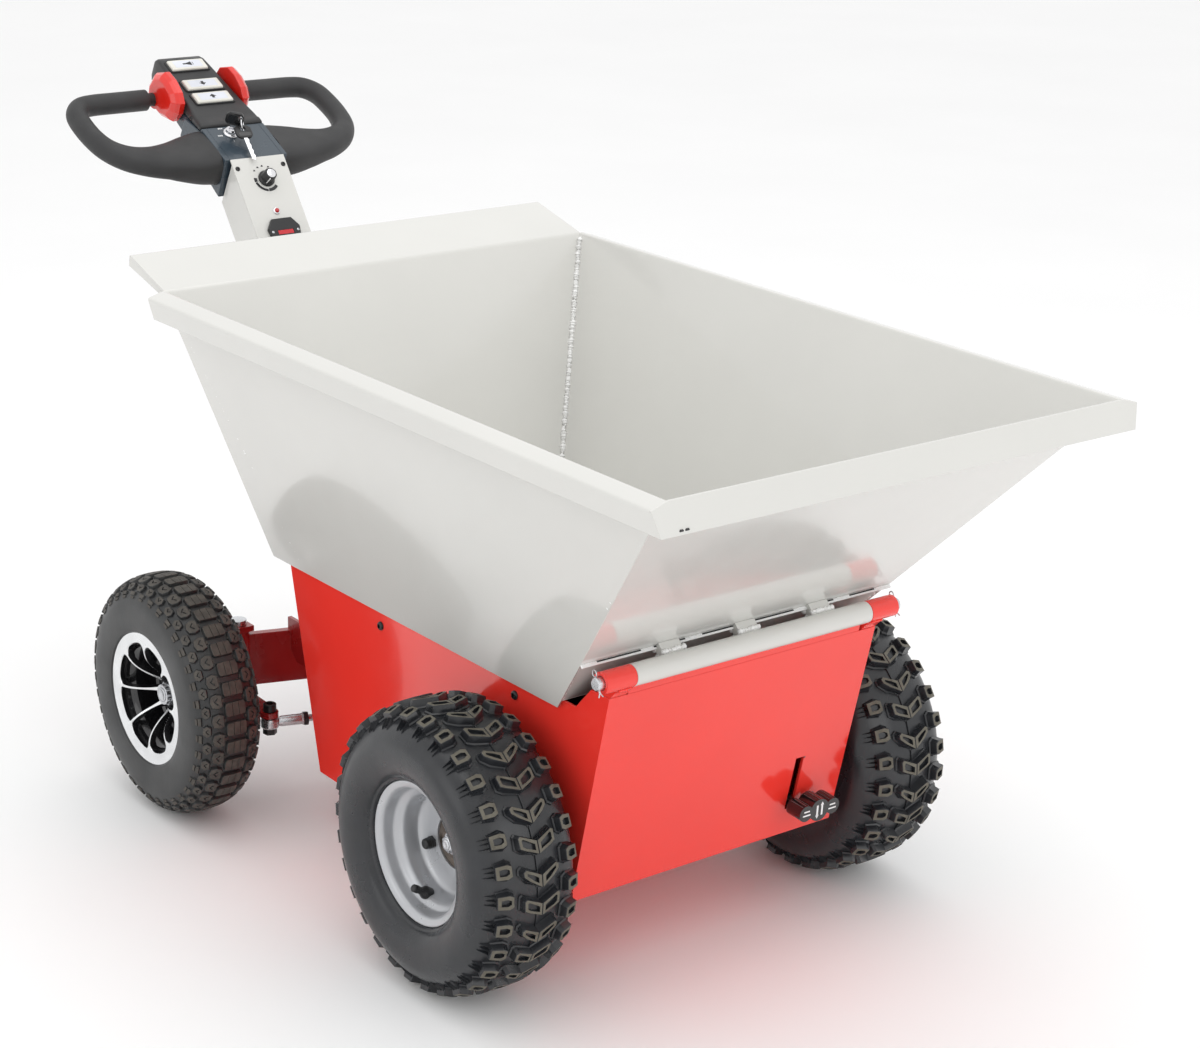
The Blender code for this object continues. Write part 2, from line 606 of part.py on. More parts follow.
def add_drive():
    """Axle tube and gearbox in one housing, the motor on its side, batteries and controller."""
    centre = (0.0, FRONT_WHEEL.y, FRONT_WHEEL.z)
    tube = cylinder(-0.2024, 0.2024, 0.0240, 20, centre)
    gearbox = [(-0.045, 0.135), (0.045, 0.135), (0.052, 0.200), (0.045, 0.300)]
    gearbox += [(0.030, 0.315), (-0.045, 0.315), (-0.056, 0.300), (-0.052, 0.200)]
    bore = cylinder(-0.21, 0.21, 0.0115, 20, centre)
    case = prism(gearbox, -0.0600, -0.0240)
    add_node("transaxle", tube, CAST_METAL, centre, [case], [bore])
    motor = [(-0.1650, 0.0), (-0.1650, 0.0400), (-0.1600, 0.0450), (-0.0603, 0.0450)]
    motor_at = (0.0, -0.005, 0.270)
    add_node("drive_motor", turned(motor + [(-0.0603, 0.0)], 24, motor_at), BLACK_PAINT, motor_at)
    floor = FLOOR_Z + SHEET + 0.0005
    for side, sign in (("left", 1), ("right", -1)):
        low_x, high_x = sorted((sign * 0.050, sign * 0.180))
        battery = box((low_x, 0.190, floor), (high_x, 0.370, floor + 0.165))
        posts = []
        for y in (0.215, 0.345):
            centre = (sign * 0.115, y, 0.0)
            posts.append(cylinder(floor + 0.160, floor + 0.175, 0.0085, 12, centre, "Z"))
        origin = (sign * 0.115, 0.280, floor)
        add_node(f"battery_{side}", battery, BLACK_PLASTIC, origin, posts)
    controller = box((-0.044, 0.200, floor), (0.044, 0.355, floor + 0.045))
    add_node("motor_controller", controller, CAST_METAL, (0.0, 0.2775, floor))


def add_release_lever():
    """A hub on the chassis pivot, an arm through the slot, and a three-lobed knob outside."""
    pivot = Vector((0.0, LEVER_PIVOT.x, LEVER_PIVOT.y))
    along = (0.0, -math.cos(LEVER_REST_ANGLE), -math.sin(LEVER_REST_ANGLE))
    local = frame_along(pivot, along)
    hub = cylinder(LEVER_X - 0.0070, LEVER_X + 0.0070, 0.0140, 20, pivot)
    arm = moved(box((0.0105, LEVER_X - 0.004, -0.006), (0.1530, LEVER_X + 0.004, 0.006)), local)
    side, middle = 0.0108, 0.0150
    lobes = arc((-KNOB_PITCH, 0.0), side, 90, 270, 6) + arc((0.0, 0.0), middle, 230, 310, 4)
    lobes += arc((KNOB_PITCH, 0.0), side, -90, 90, 6) + arc((0.0, 0.0), middle, 50, 130, 4)
    knob = moved(prism(lobes, 0.0, KNOB_LENGTH), frame_along(KNOB_ROOT, KNOB_ALONG))
    bore = cylinder(0.10, 0.15, 0.0075, 16, pivot)
    add_node("release_lever", hub, BLACK_PLASTIC, pivot, [arm, knob], [bore])


# ---- rear axle and steering ---------------------------------------------------------------


def add_rear_axle_beam():
    """A swept flat bar with a barrel for each kingpin, a head tube and two weld brackets."""
    slope = (KINGPIN.y - STEER_AXIS_Y) / KINGPIN.x
    half = 0.0063
    reach = 0.212
    end_y = STEER_AXIS_Y + slope * reach
    outline = [(-reach, end_y - half), (0.0, STEER_AXIS_Y - half), (reach, end_y - half)]
    outline += [(reach, end_y + half), (0.0, STEER_AXIS_Y + half), (-reach, end_y + half)]
    bar = prism(outline, 0.1520, 0.2270, "Z")
    joined, removed = [], []
    for x in (-KINGPIN.x, KINGPIN.x):
        at = (x, KINGPIN.y, 0.0)
        joined.append(cylinder(0.1416, 0.2330, 0.0155, 20, at, "Z"))
        removed.append(cylinder(0.10, 0.27, KINGPIN_BORE, 16, at, "Z"))
    at = (0.0, STEER_AXIS_Y, 0.0)
    joined.append(cylinder(0.1450, 0.2360, 0.0230, 24, at, "Z"))
    removed.append(cylinder(0.10, 0.27, 0.0130, 20, at, "Z"))
    for x in (-0.150, 0.150):
        back = STEER_AXIS_Y + slope * abs(x)
        plate = [(wall_y(0.185) + GAP, 0.185), (back - 0.020, 0.185), (back + 0.002, 0.205)]
        plate += [(back + 0.002, 0.245), (wall_y(0.245) + GAP, 0.245)]
        joined.append(prism(plate, x - 0.003, x + 0.003))
    add_node("rear_axle_beam", bar, DARK_RED_PAINT, joined=joined, removed=removed)


def kingpin(side):
    section = [(0.1270, 0.0), (0.1270, 0.0120), (0.1327, 0.0120), (0.1327, KINGPIN_RADIUS)]
    section += [(0.2418, KINGPIN_RADIUS), (0.2418, 0.0120), (0.2490, 0.0120), (0.2490, 0.0)]
    return turned(section, 16, (KINGPIN.x, KINGPIN.y, 0.0), "Z"), [], []


def knuckle(side):
    """A yoke round the barrel, with the steering arm in front and the spindle outside."""
    x, y = KINGPIN
    tip = y - STEER_ARM
    arm = [(x - 0.012, tip), (x - 0.016, y + 0.016), (x + 0.030, y + 0.016), (x + 0.030, y - 0.017)]
    arm += [(x + 0.014, y - 0.024), (x + 0.012, tip)]
    arm += arc((x, tip), 0.012, 0, -180, 6)[1:-1]
    lower = prism(arm, ARM_LOW_Z, ARM_HIGH_Z, "Z")
    cap = [(x - 0.016, y - 0.016), (x + 0.030, y - 0.016), (x + 0.030, y + 0.016)]
    cap += [(x - 0.016, y + 0.016)]
    upper = prism(cap, YOKE_TOP_LOW_Z, YOKE_TOP_HIGH_Z, "Z")
    low = (x + 0.0215, y - 0.0165, ARM_HIGH_Z - 0.004)
    upright = box(low, (x + 0.0295, y + 0.0155, YOKE_TOP_LOW_Z + 0.004))
    spindle = [(0.2480, 0.0), (0.2480, 0.0160), (0.2560, 0.0160), (0.2560, 0.0100)]
    spindle += [(0.3296, 0.0100), (0.3296, 0.0140), (0.3391, 0.0140), (0.3391, 0.0)]
    stub = turned(spindle, 18, (0.0, y, REAR_WHEEL.z))
    bores = [cylinder(0.10, 0.27, KINGPIN_BORE, 16, (x, y, 0.0), "Z")]
    bores.append(cylinder(0.10, 0.16, BOLT_BORE, 16, (x, tip, 0.0), "Z"))
    return lower, [upright, upper, stub], bores


def tie_rod_bolt(side):
    """A socket-head bolt through the steering arm and the rod's eye, with its nut."""
    eye_top = TIE_ROD_Z[side] + TIE_ROD_EYE_HALF
    eye_foot = TIE_ROD_Z[side] - TIE_ROD_EYE_HALF
    radius = BOLT_RADIUS
    section = [(eye_foot - 0.010, 0.0), (eye_foot - 0.010, 0.0095), (eye_foot - GAP, 0.0095)]
    section += [(eye_foot - GAP, radius), (eye_top + GAP, radius), (eye_top + GAP, 0.0095)]
    section += [(ARM_LOW_Z - GAP, 0.0095), (ARM_LOW_Z - GAP, radius), (ARM_HIGH_Z + GAP, radius)]
    section += [(ARM_HIGH_Z + GAP, 0.0090), (ARM_HIGH_Z + 0.0115, 0.0090)]
    section += [(ARM_HIGH_Z + 0.0115, 0.0)]
    return turned(section, 16, (KINGPIN.x, KINGPIN.y - STEER_ARM, 0.0), "Z"), [], []


def tie_rod(side):
    """An eye at each end of a threaded rod, each screwed up against a jam nut."""
    z = TIE_ROD_Z[side]
    inner = Vector((0.0, STEER_AXIS_Y - STEER_ARM, z))
    outer = Vector((KINGPIN.x, KINGPIN.y - STEER_ARM, z))
    length = (outer - inner).length
    half = [(0.008, 0.0), (0.008, 0.0060), (0.016, 0.0075), (0.046, 0.0075), (0.046, 0.0095)]
    half += [(0.053, 0.0095), (0.053, 0.0050)]
    section = half + [(length - along, radius) for along, radius in reversed(half)]
    local = frame_along(inner, outer - inner, (0.0, 0.0, 1.0))
    shaft = moved(turned(section, 12), local)
    eyes, bores = [], []
    for at in (inner, outer):
        low, high = z - TIE_ROD_EYE_HALF, z + TIE_ROD_EYE_HALF
        eyes.append(cylinder(low, high, 0.0130, 16, (at.x, at.y, 0.0), "Z"))
        bores.append(cylinder(0.05, 0.20, BOLT_BORE, 16, (at.x, at.y, 0.0), "Z"))
    return shaft, eyes, bores


def add_steering():
    kingpin_at = (KINGPIN.x, KINGPIN.y, 0.187)
    add_pair("kingpin", kingpin, ZINC, kingpin_at)
    add_pair("knuckle", knuckle, DARK_RED_PAINT, kingpin_at)
    bolt_at = (KINGPIN.x, KINGPIN.y - STEER_ARM, ARM_LOW_Z)
    add_pair("tie_rod_bolt", tie_rod_bolt, BLACK_PAINT, bolt_at)
    pitman_at = (0.0, STEER_AXIS_Y - STEER_ARM, ARM_LOW_Z)
    add_pair("tie_rod", tie_rod, ZINC, pitman_at)
    axis = (0.0, STEER_AXIS_Y, 0.0)
    shaft = [(0.1180, 0.0), (0.1180, 0.0125), (0.2364, 0.0125), (0.2364, 0.0220)]
    shaft += [(0.2450, 0.0220), (0.2450, 0.0300), (COLUMN_FOOT_Z - GAP, 0.0300)]
    shaft += [(COLUMN_FOOT_Z - GAP, 0.0)]
    add_node("steering_shaft", turned(shaft, 24, axis, "Z"), ZINC, axis)
    tip = STEER_AXIS_Y - STEER_ARM
    arm = arc((0.0, STEER_AXIS_Y), 0.0210, 0, 180, 8) + arc((0.0, tip), 0.0130, 180, 360, 8)
    bores = [cylinder(0.10, 0.16, 0.0130, 20, axis, "Z")]
    bores.append(cylinder(0.10, 0.16, BOLT_BORE, 16, (0.0, tip, 0.0), "Z"))
    plate = prism(arm, ARM_LOW_Z, ARM_HIGH_Z, "Z")
    add_node("pitman_arm", plate, ZINC, axis, removed=bores)
    foot = TIE_ROD_Z["left"] - TIE_ROD_EYE_HALF
    bolt = [(foot - 0.010, 0.0), (foot - 0.010, 0.0095), (foot - GAP, 0.0095)]
    bolt += [(foot - GAP, BOLT_RADIUS), (ARM_HIGH_Z + GAP, BOLT_RADIUS)]
    bolt += [(ARM_HIGH_Z + GAP, 0.0095), (ARM_HIGH_Z + 0.008, 0.0095), (ARM_HIGH_Z + 0.008, 0.0)]
    add_node("pitman_bolt", turned(bolt, 16, (0.0, tip, 0.0), "Z"), ZINC, (0.0, tip, ARM_LOW_Z))


# ---- tiller -------------------------------------------------------------------------------


def column_outline(front, rear, foot_z, top_s):
    """The column's side view between two depths, cut level at its foot and square to the
    head at its top."""
    up = Vector((math.cos(COLUMN_SLOPE), math.sin(COLUMN_SLOPE)))
    out = Vector((-up.y, up.x))
    head_up = Vector((math.cos(HEAD_SLOPE), math.sin(HEAD_SLOPE)))
    head_out = Vector((-head_up.y, head_up.x))
    corners = []
    for depth, ends in ((front, ("foot", "top")), (rear, ("top", "foot"))):
        line = COLUMN_TOP + out * depth
        found = {"foot": crossing(line, up, Vector((0.0, foot_z)), Vector((1.0, 0.0)))}
        found["top"] = crossing(line, up, HEAD_ORIGIN + head_up * top_s, head_out)
        corners += [found[end] for end in ends]
    return corners


def add_column():
    half = COLUMN_HALF_WIDTH
    post = prism(column_outline(-0.0025, -COLUMN_DEPTH, COLUMN_FOOT_Z, -0.0068), -half, half)
    inside = column_outline(0.0200, 0.0025 - COLUMN_DEPTH, COLUMN_FOOT_Z + 0.006, 0.05)
    hollow = prism(inside, 0.0025 - half, half - 0.0025)
    add_node("tiller_column", post, GREY_PAINT, removed=[hollow])
    cover = column_outline(0.0, -0.0022, COLUMN_FOOT_Z, -0.0006)
    add_node("tiller_cover", prism(cover, -half, half), GREY_PAINT)


def add_column_fittings():
    local = sloped_frame(COLUMN_SLOPE, COLUMN_TOP)
    knob_at = local @ Vector((KNOB_AT.x, KNOB_AT.y, GAP))
    knob = [(GAP, 0.0), (GAP, 0.0125), (0.0030, 0.0125), (0.0040, 0.0105), (0.0140, 0.0095)]
    knob += [(0.0140, 0.0072), (0.0190, 0.0068), (0.0190, 0.0)]
    at = (KNOB_AT.x, KNOB_AT.y, 0.0)
    add_node("speed_knob", moved(turned(knob, 20, at, "Z"), local), BLACK_PLASTIC, knob_at)
    gauge = [(-0.0160, -0.0985), (-0.0258, -0.1125), (-0.0225, -0.1330), (0.0225, -0.1330)]
    gauge += [(0.0258, -0.1125), (0.0160, -0.0985)]
    add_node("battery_gauge", moved(prism(gauge, GAP, 0.0060, "Z"), local), BLACK_PLASTIC)
    lamp = [(GAP, 0.0), (GAP, 0.0055), (0.0020, 0.0050), (0.0022, 0.0035), (0.0048, 0.0024)]
    lamp += [(0.0054, 0.0)]
    at = (0.0, -0.0850, 0.0)
    add_node("indicator_lamp", moved(turned(lamp, 16, at, "Z"), local), RED_LENS)


def add_switch_housing():
    local = sloped_frame(HEAD_SLOPE, HEAD_ORIGIN)
    outline = [(0.0, 0.0), (0.0760, 0.0), (0.0760, -0.0060), (0.1220, -0.0150)]
    outline += [(0.1220, -0.0460), (-0.0060, -0.0610)]
    half = HOUSING_HALF_WIDTH
    tail = [(0.1180, -0.0155), (0.1490, -0.0200), (0.1490, -0.0415), (0.1180, -0.0440)]
    body = moved(prism(outline, -half, half), local)
    narrow = moved(prism(tail, -0.0452, 0.0452), local)
    add_node("switch_housing", body, SLATE_PAINT, joined=[narrow])


def add_control_head():
    """The head narrows towards its far end and has a pocket for each button."""
    local = sloped_frame(HEAD_SLOPE, HEAD_ORIGIN)
    outline = [(0.0763, -0.0057), (0.0763, 0.0020), (0.0790, 0.0035), (0.2400, 0.0035)]
    outline += [(0.2520, -0.0040), (0.2560, -0.0300), (0.2420, -0.0450), (0.1494, -0.0450)]
    outline += [(0.1494, -0.0197), (0.1220, -0.0147)]
    half = 0.0512
    taper = [(0.0513, 0.1000), (0.0462, 0.1350), (0.0370, 0.2560), (0.0370, 0.3000)]
    taper += [(0.0900, 0.3000), (0.0900, 0.1000)]
    removed = [prism(taper, -0.10, 0.05, "Z")]
    removed.append(prism([(-x, s) for x, s in taper], -0.10, 0.05, "Z"))
    for s in BUTTON_STATIONS.values():
        removed.append(box((-0.0303, s - 0.0121, -0.0050), (0.0303, s + 0.0121, 0.0200)))
    removed.append(cylinder(-0.10, 0.10, 0.0062, 16, (0.0, THROTTLE_S, THROTTLE_D)))
    removed = [moved(shape, local) for shape in removed]
    add_node("control_head", moved(prism(outline, -half, half), local), BLACK_PLASTIC,
             removed=removed)
    for name, s in BUTTON_STATIONS.items():
        key = box((-0.0297, s - 0.0115, -0.0015), (0.0297, s + 0.0115, 0.0068))
        origin = local @ Vector((0.0, s, 0.0))
        add_node(name, moved(key, local), WHITE_PLASTIC, origin)


def throttle_paddle(side):
    local = sloped_frame(HEAD_SLOPE, HEAD_ORIGIN)
    outline = [(0.2130, -0.0400), (0.2180, -0.0200), (0.2100, 0.0040), (0.1900, 0.0190)]
    outline += [(0.1680, 0.0200), (0.1450, 0.0140), (0.1320, 0.0030), (0.1310, -0.0140)]
    outline += [(0.1400, -0.0340), (0.1650, -0.0440), (0.1950, -0.0460)]
    return moved(prism(outline, 0.0475, 0.0662), local), [], []


def add_throttle():
    local = sloped_frame(HEAD_SLOPE, HEAD_ORIGIN)
    origin = local @ Vector((0.0, THROTTLE_S, THROTTLE_D))
    add_pair("throttle", throttle_paddle, RED_PLASTIC, origin)
    shaft = cylinder(-0.0472, 0.0472, 0.0050, 16, (0.0, THROTTLE_S, THROTTLE_D))
    add_node("throttle_shaft", moved(shaft, local), ZINC, origin)


def root_drop(x, s):
    """How much deeper than its grip the handle is below, near the housing."""
    if s > 0.0:
        return 0.0
    share = (x - HANDLE_ROOT_X) / HANDLE_ROOT_REACH
    return HANDLE_ROOT_DROP * max(0.0, 1.0 - share)


def handle_loop(side):
    """Half of the closed handle: a wide arm from the housing, a round bend, and the grip."""
    stations = [(0.0518, -0.0400, 0.086, 0.040), (0.0800, -0.0450, 0.080, 0.040)]
    stations += [(0.1150, -0.0470, 0.064, 0.038), (0.1480, -0.0430, 0.050, 0.035)]
    stations += [(0.1760, -0.0300, 0.040, 0.033), (0.1950, -0.0070, 0.034, 0.031)]
    stations += [(0.2030, 0.0230, 0.031, 0.031), (0.2040, 0.0580, 0.031, 0.031)]
    stations += [(0.2000, 0.0840, 0.031, 0.031), (0.1860, 0.1010, 0.031, 0.031)]
    stations += [(0.1640, 0.1060, 0.031, 0.031), (0.0790, 0.1070, 0.031, 0.031)]
    sides = 14
    bm = bmesh.new()
    rings = []
    for index, (x, s, width, thick) in enumerate(stations):
        before = Vector(stations[max(index - 1, 0)][:2])
        after = Vector(stations[min(index + 1, len(stations) - 1)][:2])
        along = (after - before).normalized()
        if index == 0:
            along = Vector((1.0, 0.0))
        across = Vector((-along.y, along.x))
        ring = []
        for k in range(sides):
            turn = math.tau * k / sides
            shift = across * (0.5 * width * math.cos(turn))
            lift = 0.5 * thick * math.sin(turn)
            if lift < 0.0:
                lift -= root_drop(x, s) * abs(math.sin(turn))
            ring.append(bm.verts.new((x + shift.x, s + shift.y, lift)))
        rings.append(ring)
    for near, far in zip(rings, rings[1:]):
        for k in range(sides):
            after = (k + 1) % sides
            bm.faces.new((near[k], near[after], far[after], far[k]))
    bm.faces.new(rings[0])
    bm.faces.new(rings[-1])
    bmesh.ops.recalc_face_normals(bm, faces=bm.faces)
    local = sloped_frame(HANDLE_SLOPE, HANDLE_ORIGIN)
    head = sloped_frame(HEAD_SLOPE, HEAD_ORIGIN)
    neck = cylinder(0.0668, 0.0900, 0.0100, 16, (0.0, THROTTLE_S, THROTTLE_D))
    return moved(bm, local), [moved(neck, head)], []


def key_bow(half_width, length, half_thick):
    """A key's plastic bow in its own plane: x runs back from the blade's end, y across."""
    corner = 0.0045
    half, back = half_width, length
    outline = [(0.0, -half + corner), (corner, -half), (back - corner, -half)]
    outline += [(back, -half + corner), (back, half - corner), (back - corner, half)]
    outline += [(corner, half), (0.0, half - corner)]
    return prism(outline, -half_thick, half_thick, "Z")


def add_keys():
    """The lock and its key, and a spare on the ring that runs through both bows."""
    local = sloped_frame(HEAD_SLOPE, HEAD_ORIGIN)
    x, s = KEY_AT
    lock = [(GAP, 0.0), (GAP, 0.0115), (0.0035, 0.0105), (0.0035, 0.0085), (0.0080, 0.0080)]
    lock += [(0.0080, 0.0)]
    add_node("key_switch", moved(turned(lock, 20, (x, s, 0.0), "Z"), local), CHROME)
    width = Vector((math.cos(KEY_TWIST), math.sin(KEY_TWIST), 0.0))
    up = Vector((0.0, 0.0, 1.0))
    key_foot = Vector((x, s, 0.0))
    key = local @ frame_along(key_foot + up * 0.0160, up, width)
    blade = moved(box((-0.0077, -0.0040, -0.0011), (0.0040, 0.0040, 0.0011)), key)
    hook = key_foot + width * 0.0080 + up * 0.0300
    hole = moved(cylinder(-0.02, 0.02, 0.0040, 12, (0.0140, 0.0080, 0.0), "Z"), key)
    bow = moved(key_bow(0.0130, 0.0215, 0.0028), key)
    add_node("ignition_key", bow, BLACK_PLASTIC, local @ key_foot, [blade], [hole])

    outward = width * math.cos(RING_DROP) - up * math.sin(RING_DROP)
    across = up.cross(width)
    middle = hook + outward * RING_RADIUS
    wire = arc((0.0, RING_RADIUS), 0.0010, 0, 315, 7)
    ring = turned(wire, 24)
    ring_frame = local @ frame_along(middle, across.cross(outward), across)
    add_node("key_ring", moved(ring, ring_frame), CHROME, local @ hook)

    spare_hole = outward * math.cos(SPARE_ANGLE) + across * math.sin(SPARE_ANGLE)
    spare_hole = middle + spare_hole * RING_RADIUS
    back = Vector((0.08, 0.965, 0.250))
    spare = local @ frame_along(spare_hole - back.normalized() * 0.0150, back, (1.0, -0.083, 0.0))
    spare_blade = moved(box((-0.0400, -0.0036, -0.0010), (0.0030, 0.0036, 0.0010)), spare)
    spare_cut = moved(cylinder(-0.02, 0.02, 0.0045, 12, (0.0150, 0.0, 0.0), "Z"), spare)
    spare_bow = moved(key_bow(0.0130, 0.0220, 0.0022), spare)
    add_node("spare_key", spare_bow, BLACK_PLASTIC, local @ hook, [spare_blade], [spare_cut])


def main():
    clear_scene()
    frame = bpy.data.objects.new("machine_frame", None)
    bpy.context.scene.collection.objects.link(frame)
    frame.location = (0.0, FRONT_AXLE_Y, 0.0)
    add_wheels()
    add_chassis_shell()
    add_rear_cover()
    add_hinge()
    add_hopper()
    add_hopper_hinge_tube()
    add_actuator()
    add_drive()
    add_release_lever()
    add_rear_axle_beam()
    add_steering()
    add_column()
    add_column_fittings()
    add_switch_housing()
    add_control_head()
    add_throttle()
    add_pair("handle_loop", handle_loop, GRIP_RUBBER, (0.130, 1.055, 0.855))
    add_keys()


main()
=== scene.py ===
"""Looks of the power wheelbarrow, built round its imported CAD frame, in metres with +Z up.

Shapes are drawn the way the CAD draws them: heights above the ground, and lengths from the
front axle. piece() then moves them to the frame's origin.
"""

import json
import math

import bmesh
import bpy
from mathutils import Matrix, Vector, noise

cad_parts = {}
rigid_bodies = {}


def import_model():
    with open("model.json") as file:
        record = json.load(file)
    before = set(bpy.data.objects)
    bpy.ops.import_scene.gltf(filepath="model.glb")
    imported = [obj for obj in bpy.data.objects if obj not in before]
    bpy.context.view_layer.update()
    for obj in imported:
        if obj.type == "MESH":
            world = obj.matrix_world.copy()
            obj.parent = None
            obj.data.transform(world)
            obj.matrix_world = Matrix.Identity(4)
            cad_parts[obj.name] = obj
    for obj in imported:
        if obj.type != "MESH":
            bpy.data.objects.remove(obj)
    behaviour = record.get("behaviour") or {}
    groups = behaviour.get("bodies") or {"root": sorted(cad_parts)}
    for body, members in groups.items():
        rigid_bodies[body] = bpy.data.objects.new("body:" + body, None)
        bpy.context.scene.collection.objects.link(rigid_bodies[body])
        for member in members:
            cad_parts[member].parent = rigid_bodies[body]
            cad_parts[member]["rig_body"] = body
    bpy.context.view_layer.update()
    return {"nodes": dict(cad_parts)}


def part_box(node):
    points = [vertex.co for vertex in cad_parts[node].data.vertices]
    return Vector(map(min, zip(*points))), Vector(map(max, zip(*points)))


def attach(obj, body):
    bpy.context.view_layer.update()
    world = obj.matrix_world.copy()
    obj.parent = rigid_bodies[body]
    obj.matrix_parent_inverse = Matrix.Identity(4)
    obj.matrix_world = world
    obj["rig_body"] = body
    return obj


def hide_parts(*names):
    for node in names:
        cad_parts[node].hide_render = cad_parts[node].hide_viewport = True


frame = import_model()


def box_centre(node):
    low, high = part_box(node)
    return (low + high) / 2


SIGN = {"left": 1.0, "right": -1.0}
X_AXIS, Z_AXIS = Vector((1.0, 0.0, 0.0)), Vector((0.0, 0.0, 1.0))

# Sizes shared with the CAD
FRONT_AXLE_Y = box_centre("front_rim_left").y
TO_FRAME = Matrix.Translation((0.0, FRONT_AXLE_Y, 0.0))
FRONT_WHEEL = Vector((box_centre("front_rim_left").x, 0.0, box_centre("front_rim_left").z))
REAR_WHEEL = Vector((box_centre("rear_rim_left").x, 0.623, box_centre("rear_rim_left").z))
CHASSIS_HALF_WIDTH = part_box("chassis_shell")[1].x
PANEL_FOOT, PANEL_TOP = Vector((-0.1155, 0.1230)), Vector((-0.1768, 0.4030))
WALL_FOOT, WALL_TOP = Vector((0.4370, 0.0865)), Vector((0.5100, 0.3725))
HOPPER_SHEET = 0.0026
RIM_Z, RIM_HALF_WIDTH = 0.7303, 0.3345
RIM_FRONT_Y, RIM_REAR_Y = -0.4182, 0.5960
LIP_SLOPE, BACK_WALL_SLOPE, INNER_BACK_SLOPE, LOWER_FRONT_SLOPE = 0.2778, 0.1437, 0.351, -0.923
SEAM, SEAM_HALF_WIDTH = Vector((-0.1638, 0.4477)), 0.2388
SKIRT_Z, PAN_Z = 0.3615, 0.3756
HINGE = Vector((-0.1836, 0.4290))
# Square to the hopper's lower front wall, and up along it
WALL_OUT, WALL_UP = Vector((-0.7346, -0.6785)), Vector((-0.6785, 0.7346))
KINGPIN = Vector((0.220, 0.623))
STEER_ARM, STEER_AXIS_Y = 0.081, 0.554
ARM_LOW_Z, ARM_HIGH_Z = 0.133, 0.141
TIE_ROD_Z = {"left": 0.1098, "right": 0.1245}
COLUMN_SLOPE, COLUMN_TOP = math.radians(53.4), Vector((0.9236, 0.8140))
HEAD_SLOPE, HEAD_ORIGIN = math.radians(27.0), Vector((0.9255, 0.8147))
HANDLE_SLOPE, HANDLE_ORIGIN = math.radians(24.0), Vector((1.0089, 0.8319))
HANDLE_ROOT_X, HANDLE_ROOT_REACH, HANDLE_ROOT_DROP = 0.0518, 0.0750, 0.0168
THROTTLE_S, THROTTLE_D = 0.189, -0.0282
BUTTONS = {"up_button": 0.140, "down_button": 0.1725, "horn_button": 0.221}
KEY_AT, KNOB_AT = Vector((-0.012, 0.058)), Vector((0.002, -0.034))
LEVER_PIVOT, LEVER_ANGLE, LEVER_X = Vector((0.0, 0.225)), math.radians(24.3), 0.128


# ---- materials ----------------------------------------------------------------------------


class Look:
    """A Principled material built up from noise in the object's own space."""

    def __init__(self, name, colour, roughness, metallic=0.0, **fixed):
        self.material = bpy.data.materials.new(name)
        self.material.use_nodes = True
        self.tree = self.material.node_tree
        self.shader = self.tree.nodes["Principled BSDF"]
        self.place = self.node("TexCoord").outputs["Object"]
        self.colour = (*colour, 1.0)
        self.shader.inputs["Base Color"].default_value = self.colour
        self.shader.inputs["Roughness"].default_value = roughness
        self.shader.inputs["Metallic"].default_value = metallic
        for socket, value in fixed.items():
            self.shader.inputs[socket.replace("_", " ")].default_value = value
        self.normal = None

    def node(self, kind, settings=(), **inputs):
        made = self.tree.nodes.new("ShaderNode" + kind)
        for key, value in settings:
            setattr(made, key, value)
        for key, value in inputs.items():
            socket = made.inputs[key]
            if isinstance(value, bpy.types.NodeSocket):
                self.tree.links.new(value, socket)
            else:
                socket.default_value = value
        return made

    def stretched(self, scale):
        return self.node("Mapping", Vector=self.place, Scale=scale).outputs["Vector"]

    def noise(self, scale, detail=3.0, place=None):
        made = self.node("TexNoise", Vector=place or self.place, Scale=scale, Detail=detail)
        return made.outputs["Fac"]

    def ranged(self, value, low, high, start=0.3, stop=0.7):
        made = self.node("MapRange", Value=value)
        for key, number in (("From Min", start), ("From Max", stop), ("To Min", low), ("To Max", high)):
            made.inputs[key].default_value = number
        return made.outputs["Result"]

    def blend(self, mask, first, second):
        made = self.node("Mix", [("data_type", "RGBA")])
        self.tree.links.new(mask, made.inputs[0])
        for socket, value in ((made.inputs[6], first), (made.inputs[7], second)):
            if isinstance(value, bpy.types.NodeSocket):
                self.tree.links.new(value, socket)
            else:
                socket.default_value = value
        return made.outputs[2]

    def shade(self, amount, scale, detail=4.0):
        """The colour wanders darker and lighter by the amount."""
        low = (*[c * (1 - amount) for c in self.colour[:3]], 1.0) if isinstance(self.colour,
                                                                                tuple) else self.colour
        high = (*[min(c * (1 + amount), 1.0) for c in self.colour[:3]], 1.0)
        self.colour = self.blend(self.ranged(self.noise(scale, detail), 0.0, 1.0), low, high)
        return self

    def cover(self, colour, mask):
        """Another colour over this one where the mask is high."""
        self.colour = self.blend(mask, self.colour, (*colour, 1.0))
        return self

    def rough(self, low, high, scale, detail=4.0, place=None):
        found = self.ranged(self.noise(scale, detail, place), low, high)
        self.tree.links.new(found, self.shader.inputs["Roughness"])
        return self

    def bump(self, height, distance, strength=1.0):
        made = self.node("Bump", Height=height, Distance=distance, Strength=strength)
        if self.normal is not None:
            self.tree.links.new(self.normal, made.inputs["Normal"])
        self.normal = made.outputs["Normal"]
        return self

    def done(self):
        if isinstance(self.colour, bpy.types.NodeSocket):
            self.tree.links.new(self.colour, self.shader.inputs["Base Color"])
        if self.normal is not None:
            self.tree.links.new(self.normal, self.shader.inputs["Normal"])
        return self.material


